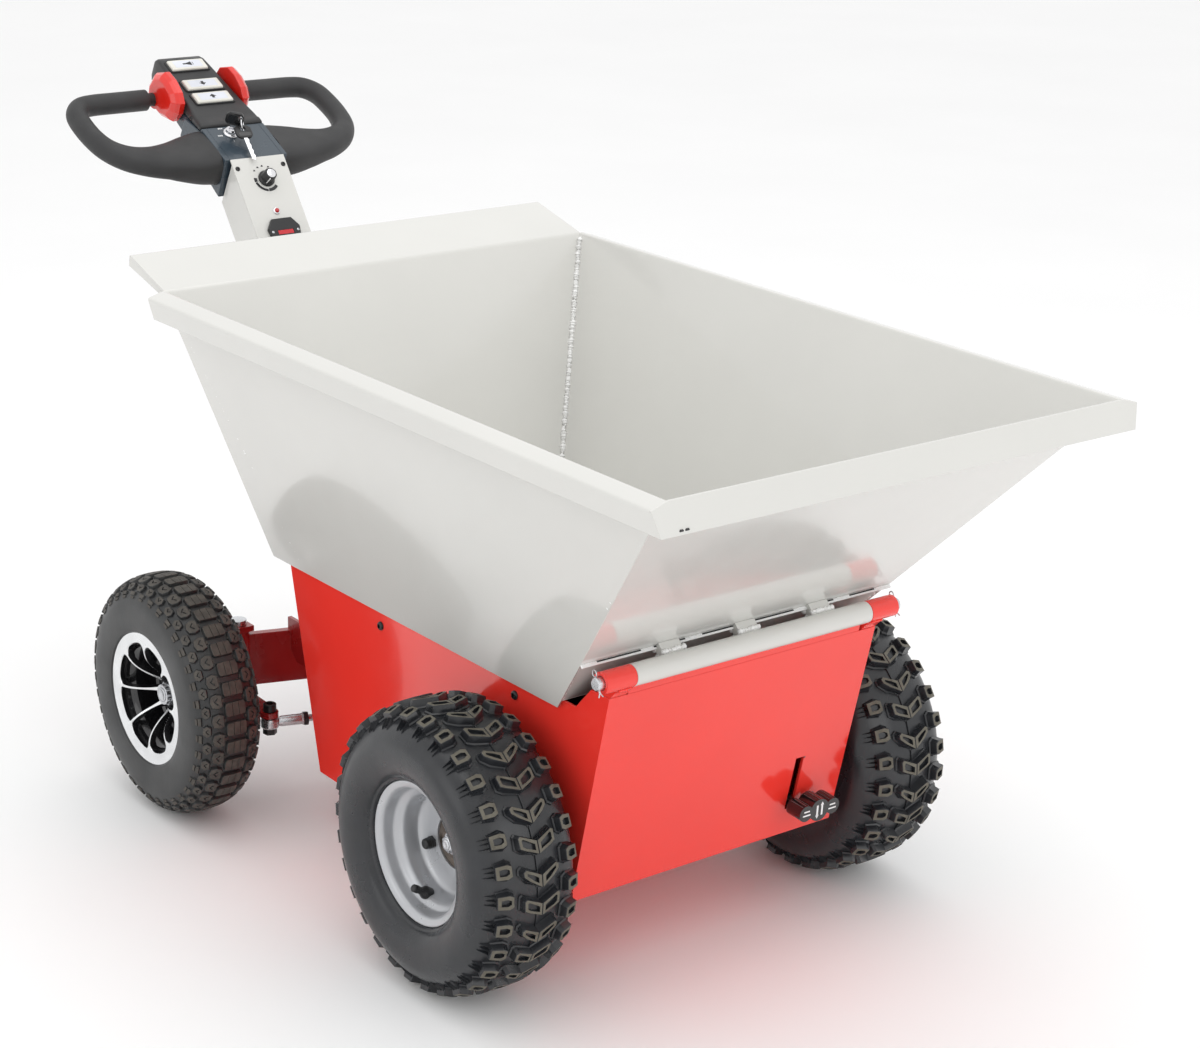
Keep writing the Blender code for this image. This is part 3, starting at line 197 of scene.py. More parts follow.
def paint(name, colour, peel=0.00012, shade=0.03, low=0.10, high=0.20, coat=0.4):
    """Gloss powder coat: orange peel, faint cloudiness and a few specks of dust."""
    look = Look(name, colour, low, Coat_Weight=coat, Coat_Roughness=0.06)
    look.shade(shade, 6.0)
    specks = look.ranged(look.noise(900.0, 1.0), 0.0, 0.35, 0.74, 0.80)
    look.cover(tuple(c * 0.8 + 0.05 for c in colour), specks)
    look.rough(low, high, 22.0)
    look.bump(look.noise(260.0, 2.0), peel, 0.5)
    return look.bump(look.noise(9.0, 2.0), 0.0012, 0.25).done()


def moulded(name, colour, grain=500.0, depth=0.00012, low=0.38, high=0.52, **fixed):
    """Moulded plastic: a leathery grain, with smoother patches where it is handled."""
    look = Look(name, colour, low, **fixed)
    look.shade(0.12, 14.0)
    look.rough(low, high, 30.0)
    cells = look.node("TexVoronoi", Vector=look.place, Scale=grain).outputs["Distance"]
    look.bump(cells, depth, 0.6)
    return look.bump(look.noise(grain * 2.5, 3.0), depth * 0.5, 0.5).done()


def metal(name, colour, low, high, brush=(1.0, 1.0, 1.0), scale=120.0, shade=0.10, depth=0.00005):
    """Bare or plated metal: fine drawn lines, and stains that dull it here and there."""
    look = Look(name, colour, low, 1.0)
    look.shade(shade, 40.0)
    lines = look.stretched(brush)
    look.rough(low, high, scale, 5.0, lines)
    return look.bump(look.noise(scale * 4.0, 2.0, lines), depth, 0.5).done()


def machined_metal(name, centre, colour, low=0.16, high=0.30):
    """Metal turned on a lathe: fine rings about a wheel's axle."""
    look = Look(name, colour, low, 1.0)
    look.shade(0.08, 30.0)
    offset = (-centre.x, -centre.y - FRONT_AXLE_Y, -centre.z)
    local = look.node("Mapping", Vector=look.place, Location=offset).outputs["Vector"]
    rings = look.node("TexWave", [("wave_type", "RINGS"), ("rings_direction", "X")], Vector=local,
                      Scale=260.0, Distortion=0.4)
    look.bump(rings.outputs["Fac"], 0.00004, 0.35)
    look.rough(low, high, 60.0)
    return look.done()


def rubber(name, colour, dust, dust_share, low, high, dust_scale=35.0):
    """Tyre rubber: moulding sheen, pale dust in patches and a pebbled skin."""
    look = Look(name, colour, low, Specular_IOR_Level=0.55)
    look.shade(0.18, 25.0)
    worn = look.ranged(look.noise(dust_scale, 6.0), 0.0, dust_share, 0.38, 0.66)
    look.cover(dust, worn)
    look.rough(low, high, 18.0)
    look.bump(look.noise(420.0, 3.0), 0.00022, 0.5)
    return look.bump(look.noise(60.0, 3.0), 0.0006, 0.3).done()


RED = paint("red_gloss_paint", (0.88, 0.040, 0.028))
# The chassis red made darker for the axle beam and knuckles: painted shade from under the hopper. Its
# stronger blotches stand for weld smear.
SHADED_RED = paint("dark_red_paint", (0.34, 0.014, 0.014), 0.0002, 0.10, 0.16, 0.34)
GREY = paint("grey_gloss_paint", (0.66, 0.655, 0.625), 0.00010, 0.015, 0.11, 0.20)
# The welds wear the hopper's grey paint; this lighter grey is painted highlight on their bumps and on the
# seam ledge's edge.
WELD_HIGHLIGHT = paint("weld_painted_highlight", (0.86, 0.86, 0.85), 0.0005, 0.06, 0.08, 0.22)
SLATE = paint("slate_paint", (0.040, 0.058, 0.076), 0.00012, 0.08, 0.20, 0.34, 0.3)
BLACK_GLOSS = paint("black_gloss_paint", (0.010, 0.010, 0.011), 0.00008, 0.10, 0.12, 0.24, 0.5)
SILVER = paint("silver_paint", (0.50, 0.51, 0.53), 0.00008, 0.04, 0.26, 0.36, 0.3)
SILVER.node_tree.nodes["Principled BSDF"].inputs["Metallic"].default_value = 0.45
PLASTIC = moulded("black_grained_plastic", (0.020, 0.020, 0.021))
BLACK_PARTS = moulded("black_hard_plastic", (0.014, 0.014, 0.015), 900.0, 0.00006, 0.24, 0.36)
FOAM = moulded("grip_foam", (0.026, 0.026, 0.027), 1500.0, 0.00030, 0.48, 0.62)
RED_GLOSS = moulded("red_gloss_plastic", (0.72, 0.018, 0.010), 700.0, 0.00002, 0.12, 0.20,
                    Coat_Weight=0.5, Subsurface_Weight=0.05)
WHITE = moulded("off_white_plastic", (0.70, 0.69, 0.63), 800.0, 0.00003, 0.24, 0.34)
LABEL = moulded("label_film", (0.66, 0.68, 0.74), 900.0, 0.00002, 0.16, 0.24)
# Black print for symbols, scales and marks; also the flat black used as painted shade in the seam's gaps and
# the slot's hole.
INK_AND_SHADE = moulded("black_ink_and_painted_shade", (0.012, 0.012, 0.014), 900.0, 0.00001, 0.30, 0.42)
# Lighter grey than the black knob: a painted highlight along the knob's ribs.
RIB_HIGHLIGHT = moulded("rib_painted_highlight", (0.10, 0.10, 0.10), 900.0, 0.00002, 0.20, 0.30)
CREAM_INK = moulded("white_ink", (0.82, 0.82, 0.82), 900.0, 0.00002, 0.30, 0.42)
LENS = moulded("red_lens", (0.45, 0.006, 0.008), 300.0, 0.00003, 0.06, 0.12, Coat_Weight=1.0)
GAUGE_LENS = moulded("red_window", (0.58, 0.02, 0.03), 1200.0, 0.0002, 0.18, 0.30)
CHROME = metal("chrome_plate", (0.80, 0.80, 0.82), 0.05, 0.16, scale=60.0, shade=0.06)
ZINC = metal("zinc_plate", (0.60, 0.61, 0.63), 0.18, 0.38, (1.0, 6.0, 6.0), 150.0, 0.14, 0.0001)
STEEL = metal("worn_steel", (0.20, 0.165, 0.14), 0.35, 0.60, scale=200.0, shade=0.35, depth=0.0002)
CAST = metal("cast_metal", (0.24, 0.24, 0.25), 0.42, 0.62, scale=300.0, shade=0.2, depth=0.0005)
SPUN = {side: machined_metal(f"machined_face_{side}",
                             Vector((sign * REAR_WHEEL.x, REAR_WHEEL.y, REAR_WHEEL.z)),
                             (0.78, 0.79, 0.80)) for side, sign in SIGN.items()}
CARCASS = rubber("tyre_carcass", (0.016, 0.0175, 0.021), (0.036, 0.037, 0.038), 0.25, 0.20, 0.38)
LUG_TOP = rubber("tyre_lug_top", (0.098, 0.088, 0.066), (0.135, 0.125, 0.098), 0.8, 0.55, 0.75, 90.0)
BLOCK_TOP = rubber("tyre_block_top", (0.048, 0.042, 0.036), (0.090, 0.080, 0.066), 0.7, 0.52, 0.75, 90.0)
SIDEWALL = rubber("tyre_sidewall", (0.021, 0.022, 0.023), (0.038, 0.037, 0.036), 0.4, 0.34, 0.50)


# ---- shapes -------------------------------------------------------------------------------


def piece(name, bm, body, slot, *looks, replaces=(), angle=30.0, bevel=0.0, segments=2, bevel_angle=30.0):
    """Makes a mesh piece that rides on a body, with its materials and smooth shading."""
    bmesh.ops.transform(bm, matrix=TO_FRAME, verts=bm.verts)
    mesh = bpy.data.meshes.new(name)
    bm.to_mesh(mesh)
    bm.free()
    for look in looks:
        mesh.materials.append(look)
    mesh.shade_smooth()
    if not bevel:
        mesh.set_sharp_from_angle(angle=math.radians(angle))
    obj = bpy.data.objects.new(name, mesh)
    bpy.context.scene.collection.objects.link(obj)
    if bevel:
        round_edges(obj, bevel, segments, bevel_angle).miter_outer = "MITER_ARC"
    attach(obj, body)
    if replaces:
        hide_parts(*replaces)
    return obj


def round_edges(obj, width, segments, angle):
    rounding = obj.modifiers.new("rounded_edges", "BEVEL")
    rounding.width = width
    rounding.segments = segments
    rounding.limit_method = "ANGLE"
    rounding.angle_limit = math.radians(angle)
    rounding.harden_normals = True
    return rounding


def body_of(node):
    return frame["nodes"][node]["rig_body"]


def finer(node, width, slot, look, segments=2, angle=30.0):
    """The CAD node's own shape with rounded edges, standing for it."""
    bm = bmesh.new()
    bm.from_mesh(frame["nodes"][node].data)
    bmesh.ops.remove_doubles(bm, verts=bm.verts, dist=3e-6)
    bmesh.ops.dissolve_limit(bm, angle_limit=math.radians(0.6), verts=bm.verts, edges=bm.edges)
    bare = plain_copy(bm)
    bmesh.ops.transform(bare, matrix=TO_FRAME.inverted(), verts=bare.verts)
    return piece(f"{node}_finish", bare, body_of(node), slot, look, replaces=(node,),
                 bevel=width, segments=segments, bevel_angle=angle)


def plain_copy(bm):
    """The same faces without the imported normals."""
    points = [v.co.copy() for v in bm.verts]
    bm.verts.index_update()
    faces = [[v.index for v in f.verts] for f in bm.faces]
    bm.free()
    return closed_mesh(points, faces)


def closed_mesh(points, faces):
    bm = bmesh.new()
    add_faces(bm, points, faces)
    bmesh.ops.recalc_face_normals(bm, faces=bm.faces)
    return bm


def add_faces(bm, points, faces):
    verts = [bm.verts.new(p) for p in points]
    for face in faces:
        bm.faces.new([verts[i] for i in face])


def skin(bm, rings, wrapped=False, looks=None):
    """Quads between rings of as many verts. They end in a face each, or wrap round to the first."""
    count = len(rings[0])
    for row, (near, far) in enumerate(zip(rings, rings[1:] + (rings[:1] if wrapped else []))):
        for k in range(count):
            after = (k + 1) % count
            face = bm.faces.new((near[k], near[after], far[after], far[k]))
            face.material_index = looks[row] if looks else 0
    if not wrapped:
        bm.faces.new(rings[0])
        bm.faces.new(rings[-1])


def prism(outline, low, high, axis="X"):
    """An outline drawn across the axis, in the order of the other two, from low to high."""
    def point(a, b, along):
        return {"X": (along, a, b), "Y": (a, along, b), "Z": (a, b, along)}[axis]

    count = len(outline)
    points = [point(a, b, low) for a, b in outline] + [point(a, b, high) for a, b in outline]
    sides = [(i, (i + 1) % count, count + (i + 1) % count, count + i) for i in range(count)]
    ends = [tuple(range(count)), tuple(range(count, 2 * count))]
    return closed_mesh(points, sides + ends)


def box(low, high):
    outline = [(low[1], low[2]), (high[1], low[2]), (high[1], high[2]), (low[1], high[2])]
    return prism(outline, low[0], high[0])


def turned(section, sides, matrix=Matrix(), flute=None, indices=()):
    """A body turned about local x. A flute changes the radius round the axis."""
    bm = bmesh.new()
    rings = []
    for along, radius in section:
        ring = []
        for k in range(sides if radius else 1):
            turn = math.tau * k / sides
            reach = radius * (flute(turn, along) if flute else 1.0)
            ring.append(bm.verts.new((along, reach * math.cos(turn), reach * math.sin(turn))))
        rings.append(ring)
    pairs = list(zip(rings, rings[1:]))
    if section[0][1]:
        pairs.append((rings[-1], rings[0]))
    for row, (near, far) in enumerate(pairs):
        for k in range(sides):
            corners = [near[k % len(near)], near[(k + 1) % sides % len(near)]]
            corners += [far[(k + 1) % sides % len(far)], far[k % len(far)]]
            face = bm.faces.new(list(dict.fromkeys(corners)))
            face.material_index = indices[row] if row < len(indices) else 0
    bmesh.ops.recalc_face_normals(bm, faces=bm.faces)
    return moved(bm, matrix)


def moved(bm, matrix):
    bmesh.ops.transform(bm, matrix=matrix, verts=bm.verts)
    if matrix.to_3x3().determinant() < 0:
        bmesh.ops.reverse_faces(bm, faces=bm.faces)
    return bm


def joined(shapes, indices=None):
    """Several shapes in one mesh, each with its own material number."""
    whole = bmesh.new()
    for number, shape in enumerate(shapes):
        mesh = bpy.data.meshes.new("part")
        shape.to_mesh(mesh)
        shape.free()
        if indices:
            for polygon in mesh.polygons:
                polygon.material_index = indices[number]
        whole.from_mesh(mesh)
        bpy.data.meshes.remove(mesh)
    return whole


def frame_along(origin, along, across=(1.0, 0.0, 0.0)):
    """Local x runs along, local y across, local z square to both."""
    along = Vector(along).normalized()
    across = Vector(across).normalized()
    square = along.cross(across).normalized()
    matrix = Matrix((along, square.cross(along), square)).transposed().to_4x4()
    matrix.translation = origin
    return matrix


def sloped_frame(slope, origin):
    lift = Matrix.Translation((0.0, origin.x, origin.y))
    return lift @ Matrix.Rotation(slope, 4, "X")


def arc(centre, radius, start, stop, steps):
    angles = [math.radians(start + (stop - start) * k / steps) for k in range(steps + 1)]
    return [(centre[0] + radius * math.cos(a), centre[1] + radius * math.sin(a)) for a in angles]


def smooth_line(points, cuts, closed=False):
    """A Catmull-Rom curve through points of any size."""
    points = [Vector(p) for p in points]
    count = len(points)
    found = []
    for i in range(count if closed else count - 1):
        if closed:
            p0, p1, p2, p3 = (points[(i + k - 1) % count] for k in range(4))
        else:
            p0, p1 = points[max(i - 1, 0)], points[i]
            p2, p3 = points[i + 1], points[min(i + 2, count - 1)]
        for k in range(cuts):
            t = k / cuts
            found.append(0.5 * (2 * p1 + (p2 - p0) * t + (2 * p0 - 5 * p1 + 4 * p2 - p3) * t * t
                                + (3 * p1 - p0 - 3 * p2 + p3) * t * t * t))
    return found if closed else found + [points[-1]]


def filleted(points, radius, steps=5):
    """A polyline of 2-D points with each inner corner rounded."""
    points = [Vector(p) for p in points]
    found = [points[0]]
    for before, corner, after in zip(points, points[1:], points[2:]):
        reach = min(radius, 0.45 * (corner - before).length, 0.45 * (after - corner).length)
        start = corner + (before - corner).normalized() * reach
        stop = corner + (after - corner).normalized() * reach
        for k in range(steps + 1):
            t = k / steps
            found.append(start * (1 - t) ** 2 + corner * 2 * t * (1 - t) + stop * t * t)
    return found + [points[-1]]


def swept(path, radius, sides, closed=False, squash=1.0):
    """A round bar along 3-D points. The radius may be a function of the point's number."""
    path = [Vector(p) for p in path]
    count = len(path)
    bm = bmesh.new()
    rings = []
    normal = None
    for i, point in enumerate(path):
        before = path[i - 1] if closed or i else path[0]
        after = path[(i + 1) % count] if closed else path[min(i + 1, count - 1)]
        along = (after - before).normalized()
        if normal is None:
            normal = along.orthogonal().normalized()
        normal = (normal - along * normal.dot(along)).normalized()
        side = along.cross(normal)
        size = radius(i) if callable(radius) else radius
        ring = []
        for k in range(sides):
            turn = math.tau * k / sides
            shift = normal * (size * math.cos(turn)) + side * (size * squash * math.sin(turn))
            ring.append(bm.verts.new(point + shift))
        rings.append(ring)
    skin(bm, rings, closed)
    bmesh.ops.recalc_face_normals(bm, faces=bm.faces)
    return bm


def wander(at):
    """A smooth offset at a point, from noise that is the same on every run."""
    return Vector([noise.noise(at + Vector((31.4, 0.0, 0.0)) * k) for k in range(3)])


def weld_bead(start, end, radius, seed):
    """A hand-laid bead: ripples a few millimetres apart, and lumps that differ."""
    start, end = Vector(start), Vector(end)
    steps = max(6, int((end - start).length / 0.0011))
    path, sizes = [], []
    for k in range(steps + 1):
        at = start.lerp(end, k / steps)
        lump = noise.noise(at * 260.0 + Vector((seed, 0.0, 0.0)))
        ripple = math.sin(k * 1.9 + 2.5 * lump)
        sizes.append(radius * (0.86 + 0.20 * ripple + 0.55 * lump))
        path.append(at + wander(at * 190.0) * radius * 0.30)
    sizes[0] = sizes[-1] = radius * 0.35
    return swept(path, lambda i: sizes[i], 9)


def hexagon(radius, turn=0.0):
    return [(radius * math.cos(math.radians(60 * k) + turn), radius * math.sin(math.radians(60 * k) + turn))
            for k in range(6)]


def screw_head(matrix, radius, height, socket):
    """A button head along local x, with a hexagon socket sunk in it."""
    sides = 24
    rings = [[(0.0, radius)] * sides]
    for share, rise in ((1.0, 0.30), (0.93, 0.62), (0.78, 0.88), (0.62, 1.0)):
        rings.append([(height * rise, radius * share)] * sides)
    points, faces = [], []
    for ring in rings:
        for k, (along, reach) in enumerate(ring):
            turn = math.tau * k / sides
            points.append((along, reach * math.cos(turn), reach * math.sin(turn)))
    for level in range(len(rings) - 1):
        for k in range(sides):
            near, far = level * sides + k, level * sides + (k + 1) % sides
            faces.append((near, far, far + sides, near + sides))
    half_side, whole_side = math.radians(30), math.radians(60)
    for depth in (height, height * 0.25):
        for k in range(sides):
            turn = math.tau * k / sides
            off_flat = (turn + half_side) % whole_side - half_side
            flat = socket * math.cos(half_side) / math.cos(off_flat)
            points.append((depth, flat * math.cos(turn), flat * math.sin(turn)))
    for level in (len(rings) - 1, len(rings)):
        for k in range(sides):
            near, far = level * sides + k, level * sides + (k + 1) % sides
            faces.append((near, far, far + sides, near + sides))
    faces.append(tuple(range(sides)))
    faces.append(tuple(range((len(rings) + 1) * sides, (len(rings) + 2) * sides)))
    return moved(closed_mesh(points, faces), matrix)


def mirrored(side):
    return Matrix.Diagonal((SIGN[side], 1.0, 1.0, 1.0))


# ---- tyres --------------------------------------------------------------------------------


class Tread:
    """A tyre's outer envelope: s across it from the crown, c round it, h out from it."""

    def __init__(self, centre, envelope, turn=0.0):
        self.centre, self.turn = centre, turn
        self.points = smooth_line(envelope, 10)
        self.radius = self.points[0].y
        self.reach = [0.0]
        for before, after in zip(self.points, self.points[1:]):
            self.reach.append(self.reach[-1] + (after - before).length)

    def at(self, s, c, h=0.0):
        far = min(abs(s), self.reach[-1] - 1e-6)
        index = max(i for i, reach in enumerate(self.reach[:-1]) if reach <= far)
        before, after = self.points[index], self.points[index + 1]
        share = (far - self.reach[index]) / (self.reach[index + 1] - self.reach[index])
        along = (after - before).normalized()
        spot = before.lerp(after, share) + Vector((-along.y, along.x)) * h
        angle = c / self.radius + self.turn
        x = math.copysign(spot.x, s)
        return self.centre + Vector((x, -spot.y * math.cos(angle), spot.y * math.sin(angle)))


def spread(outline, amount):
    """An outline moved outwards from its middle."""
    middle = sum((Vector(p) for p in outline), Vector((0.0, 0.0))) / len(outline)
    return [Vector(p) + (Vector(p) - middle).normalized() * amount for p in outline]


def add_block(bm, tread, outline, levels, recess=None, depth=0.0, shift=0.0):
    """A rubber block through (height, spread) levels, with a recess in its top."""
    rings = [[tread.at(p.x, p.y + shift, h) for p in spread(outline, out)] for h, out in levels]
    kinds = [0] * (len(rings) - 1)
    if recess:
        top = levels[-1][0]
        rings.append([tread.at(p[0], p[1] + shift, top) for p in recess])
        rings.append([tread.at(p.x, p.y + shift, top - depth) for p in spread(recess, -0.0007)])
        kinds += [1, 0]
    else:
        kinds[-1] = 1 if len(levels) > 2 else 0
    count = len(outline)
    verts = [[bm.verts.new(p) for p in ring] for ring in rings]
    for near, far, kind in zip(verts, verts[1:], kinds):
        for k in range(count):
            bm.faces.new((near[k], near[(k + 1) % count], far[(k + 1) % count], far[k])).material_index = kind
    bm.faces.new(verts[0])
    bm.faces.new(verts[-1]).material_index = 0 if recess else 1


def add_fin(bm, tread, start, end, c, width, shift):
    """A rib that runs down the sidewall and dies away."""
    sections = []
    for share in (0.0, 0.5, 1.0):
        s = start + (end - start) * share
        half = width * (1.0 - 0.75 * share)
        lift = -0.0048 - 0.0036 * share
        low = tread.at(s, c - half + shift, -0.0125)
        high = tread.at(s, c + half + shift, -0.0125)
        sections.append([bm.verts.new(p) for p in (low, tread.at(s, c + shift, lift), high)])
    skin(bm, sections)


def add_nib(bm, foot, tip, radius=0.00035):
    """A moulding hair: a thin three-sided spike."""
    along = (tip - foot).normalized()
    side = along.orthogonal().normalized() * radius
    turns = [Matrix.Rotation(math.radians(120 * k), 3, along) @ side for k in range(3)]
    ring = [bm.verts.new(foot + turn) for turn in turns]
    point = bm.verts.new(tip)
    for k in range(3):
        bm.faces.new((ring[k], ring[(k + 1) % 3], point))
    bm.faces.new(ring)


FRONT_ENVELOPE = [(0.0, 0.1790), (0.0150, 0.1788), (0.0300, 0.1778), (0.0450, 0.1755), (0.0580, 0.1712),
                  (0.0685, 0.1640), (0.0760, 0.1530), (0.0788, 0.1400), (0.0785, 0.1280), (0.0760, 0.1150)]
FRONT_SKIN = [(0.0590, 0.0893), (0.0618, 0.0905), (0.0632, 0.0932), (0.0662, 0.0950), (0.0702, 0.0990),
              (0.0745, 0.1075), (0.0772, 0.1180), (0.0780, 0.1290), (0.0766, 0.1380), (0.0722, 0.1465),
              (0.0655, 0.1540), (0.0560, 0.1596), (0.0440, 0.1636), (0.0290, 0.1664), (0.0120, 0.1679)]
FRONT_BEAD = [(0.0535, 0.0799), (0.0556, 0.0889)]
FRONT_INSIDE = [(0.0, 0.1620), (0.0450, 0.1580), (0.0680, 0.1400), (0.0690, 0.1200), (0.0640, 0.1000),
                (0.0500, 0.0800)]
REAR_ENVELOPE = [(0.0, 0.1650), (0.0100, 0.1648), (0.0200, 0.1633), (0.0300, 0.1600), (0.0390, 0.1545),
                 (0.0460, 0.1460), (0.0496, 0.1350), (0.0504, 0.1250), (0.0500, 0.1150)]
REAR_SKIN = [(0.0462, 0.0922), (0.0478, 0.0932), (0.0482, 0.0950), (0.0492, 0.1000), (0.0501, 0.1100),
             (0.0502, 0.1220), (0.0490, 0.1335), (0.0450, 0.1430), (0.0380, 0.1505), (0.0285, 0.1560),
             (0.0185, 0.1592), (0.0090, 0.1603)]
REAR_BEAD = [(0.0395, 0.0799), (0.0430, 0.0904)]
REAR_INSIDE = [(0.0, 0.1540), (0.0300, 0.1480), (0.0440, 0.1300), (0.0450, 0.1100), (0.0360, 0.0800)]


def carcass(centre, bead, skin, inside, crown, sides):
    """The tyre's hollow body, smooth from bead to bead."""
    half = [Vector(p) for p in bead] + smooth_line(skin, 3)
    outer = half + [Vector((0.0, crown))] + [Vector((-p.x, p.y)) for p in reversed(half)]
    inner = [Vector((-a, r)) for a, r in reversed(inside)] + [Vector(p) for p in inside[1:]]
    return turned([(p.x, p.y) for p in outer + inner], sides, Matrix.Translation(centre))


def mm(points, side=1.0):
    """Outline points from millimetres, with the first flipped for the other side."""
    return [(side * a * 0.001, c * 0.001) for a, c in points]


WING_SQUARE = ([(0.5, -7.5), (19.5, -0.5), (26.0, 3.0), (26.5, 15.5), (23.5, 17.5), (0.5, 8.0)],
               [(4.2, -2.6), (18.0, 2.4), (22.0, 5.2), (22.3, 12.0), (20.4, 13.4), (4.2, 4.6)])
WING_WEDGE = ([(0.5, -9.5), (18.0, 0.5), (26.0, 7.5), (26.5, 13.0), (22.5, 15.5), (0.5, 5.5)],
              [(5.2, -3.6), (12.5, 0.8), (21.8, 8.6), (21.4, 11.2), (12.0, 7.2), (5.2, 3.0)])
SHOULDER = ([(41.5, -6.5), (41.5, 6.5), (47.5, 9.2), (62.5, 8.2), (62.5, -8.2), (47.5, -9.2)],
            [(45.0, -2.2), (45.0, 2.2), (49.5, 4.4), (58.0, 3.9), (58.0, -3.9), (49.5, -4.4)])
LUG_LEVELS = [(-0.0132, 0.0052), (-0.0100, 0.0046), (-0.0086, 0.0026), (-0.0007, 0.0002), (0.0, -0.0005)]
FAR_SIDE_X, NARROWER = 0.0785, 0.075


def front_tyre(side, turn):
    centre = Vector((SIGN[side] * FRONT_WHEEL.x, 0.0, FRONT_WHEEL.z))
    tread = Tread(centre, FRONT_ENVELOPE, math.radians(turn))
    pitch = math.tau * tread.radius / 30
    bm = carcass(centre, FRONT_BEAD, FRONT_SKIN, FRONT_INSIDE, 0.1682, 96)
    for number in range(30):
        shift = pitch * number
        wing = WING_SQUARE if number % 2 == 0 else WING_WEDGE
        for sign in (1.0, -1.0):
            add_block(bm, tread, mm(wing[0], sign), LUG_LEVELS, mm(wing[1], sign), 0.0042, shift)
            between = shift + 0.5 * pitch
            add_block(bm, tread, mm(SHOULDER[0], sign), LUG_LEVELS, mm(SHOULDER[1], sign), 0.0042, between)
            for c, end in ((-0.0064, 0.1000), (0.0002, 0.0880), (0.0064, 0.0960)):
                add_fin(bm, tread, sign * 0.0620, sign * end, c, 0.0024, between)
            for c in (-0.0078, 0.0078):
                if (number + int(c > 0)) % 2:
                    foot = tread.at(sign * 0.0615, between + c, -0.0010)
                    add_nib(bm, foot, tread.at(sign * 0.0665, between + c, 0.0006))
    for ring, count in ((0.1020, 30), (0.1235, 26)):
        for number in range(count):
            for sign in (1.0, -1.0):
                add_sidewall_dash(bm, centre, sign, ring, math.tau * number / count + 0.1 * ring, 0.0767)
    ridge = [(-0.0011, 0.1674), (-0.0007, 0.1698), (0.0007, 0.1698), (0.0011, 0.1674)]
    bm = joined([bm, turned(ridge, 120, Matrix.Translation(centre))])
    draw_in(bm, centre, SIGN[side])
    bmesh.ops.recalc_face_normals(bm, faces=bm.faces)
    name = f"front_tyre_{side}"
    piece(f"{name}_rubber", bm, f"front_wheel_{side}", "tyre", CARCASS, LUG_TOP, replaces=(name,), angle=24.0)


def draw_in(bm, centre, sign):
    """The tyre is drawn in from its inner side, more and more from the bead to the tread."""
    for vert in bm.verts:
        offset = vert.co - centre
        radius = math.hypot(offset.y, offset.z)
        share = min(1.0, max(0.0, (radius - 0.095) / 0.030))
        share = share * share * (3.0 - 2.0 * share)
        out = sign * offset.x
        vert.co.x = centre.x + sign * (out + share * NARROWER * (FAR_SIDE_X - out))


def add_sidewall_dash(bm, centre, sign, ring, angle, out):
    """A short raised dash where a mould vent was."""
    def spot(turn, radius, lift):
        x = sign * (out - 1.1 * max(0.0, 0.1180 - radius) + lift)
        return centre + Vector((x, -radius * math.cos(turn), radius * math.sin(turn)))

    half = 0.0016 / ring
    corners = [(angle - half, ring - 0.0004), (angle + half, ring - 0.0004), (angle + half, ring + 0.0004),
               (angle - half, ring + 0.0004)]
    points = [spot(turn, radius, -0.003) for turn, radius in corners]
    points += [spot(turn, radius, 0.0012) for turn, radius in corners]
    add_faces(bm, points,
              [(0, 1, 2, 3), (4, 5, 6, 7), (0, 1, 5, 4), (1, 2, 6, 5), (2, 3, 7, 6), (3, 0, 4, 7)])


CENTRE_BLOCKS = [[(-14.5, -5.5), (-13.0, -8.6), (-5.0, -8.9), (-5.0, 8.9), (-13.0, 8.6), (-14.5, 5.5)],
                 [(-4.4, -8.9), (0.0, -9.0), (4.4, -8.9), (4.4, 8.9), (0.0, 9.0), (-4.4, 8.9)],
                 [(5.0, -8.9), (13.0, -8.6), (14.5, -5.5), (14.5, 5.5), (13.0, 8.6), (5.0, 8.9)]]
HOUSE_BLOCK = ([(18.5, -7.5), (18.5, 0.0), (18.5, 7.5), (25.0, 9.8), (32.5, 7.5), (34.5, 0.0), (32.5, -7.5),
                (25.0, -9.8)],
               [(23.2, -4.2), (27.0, 0.0), (23.2, 4.2), (24.4, 5.3), (28.4, 1.0), (29.2, 0.0), (28.4, -1.0),
                (24.4, -5.3)])
HEXAGON_BLOCK = ([(36.5, -5.0), (36.5, 0.0), (36.5, 5.0), (42.0, 8.4), (47.5, 5.0), (47.5, -5.0),
                  (42.0, -8.4)],
                 [(39.2, -3.2), (42.2, 0.0), (39.2, 3.2), (40.2, 4.2), (43.9, 0.4), (43.9, -0.4),
                  (40.2, -4.2)])
BLOCK_LEVELS = [(-0.0062, 0.0022), (-0.0040, 0.0014), (-0.0005, 0.0002), (0.0, -0.0004)]
LOW_LEVELS = [(-0.0040, 0.0010), (-0.0009, 0.0002), (-0.0003, -0.0002)]


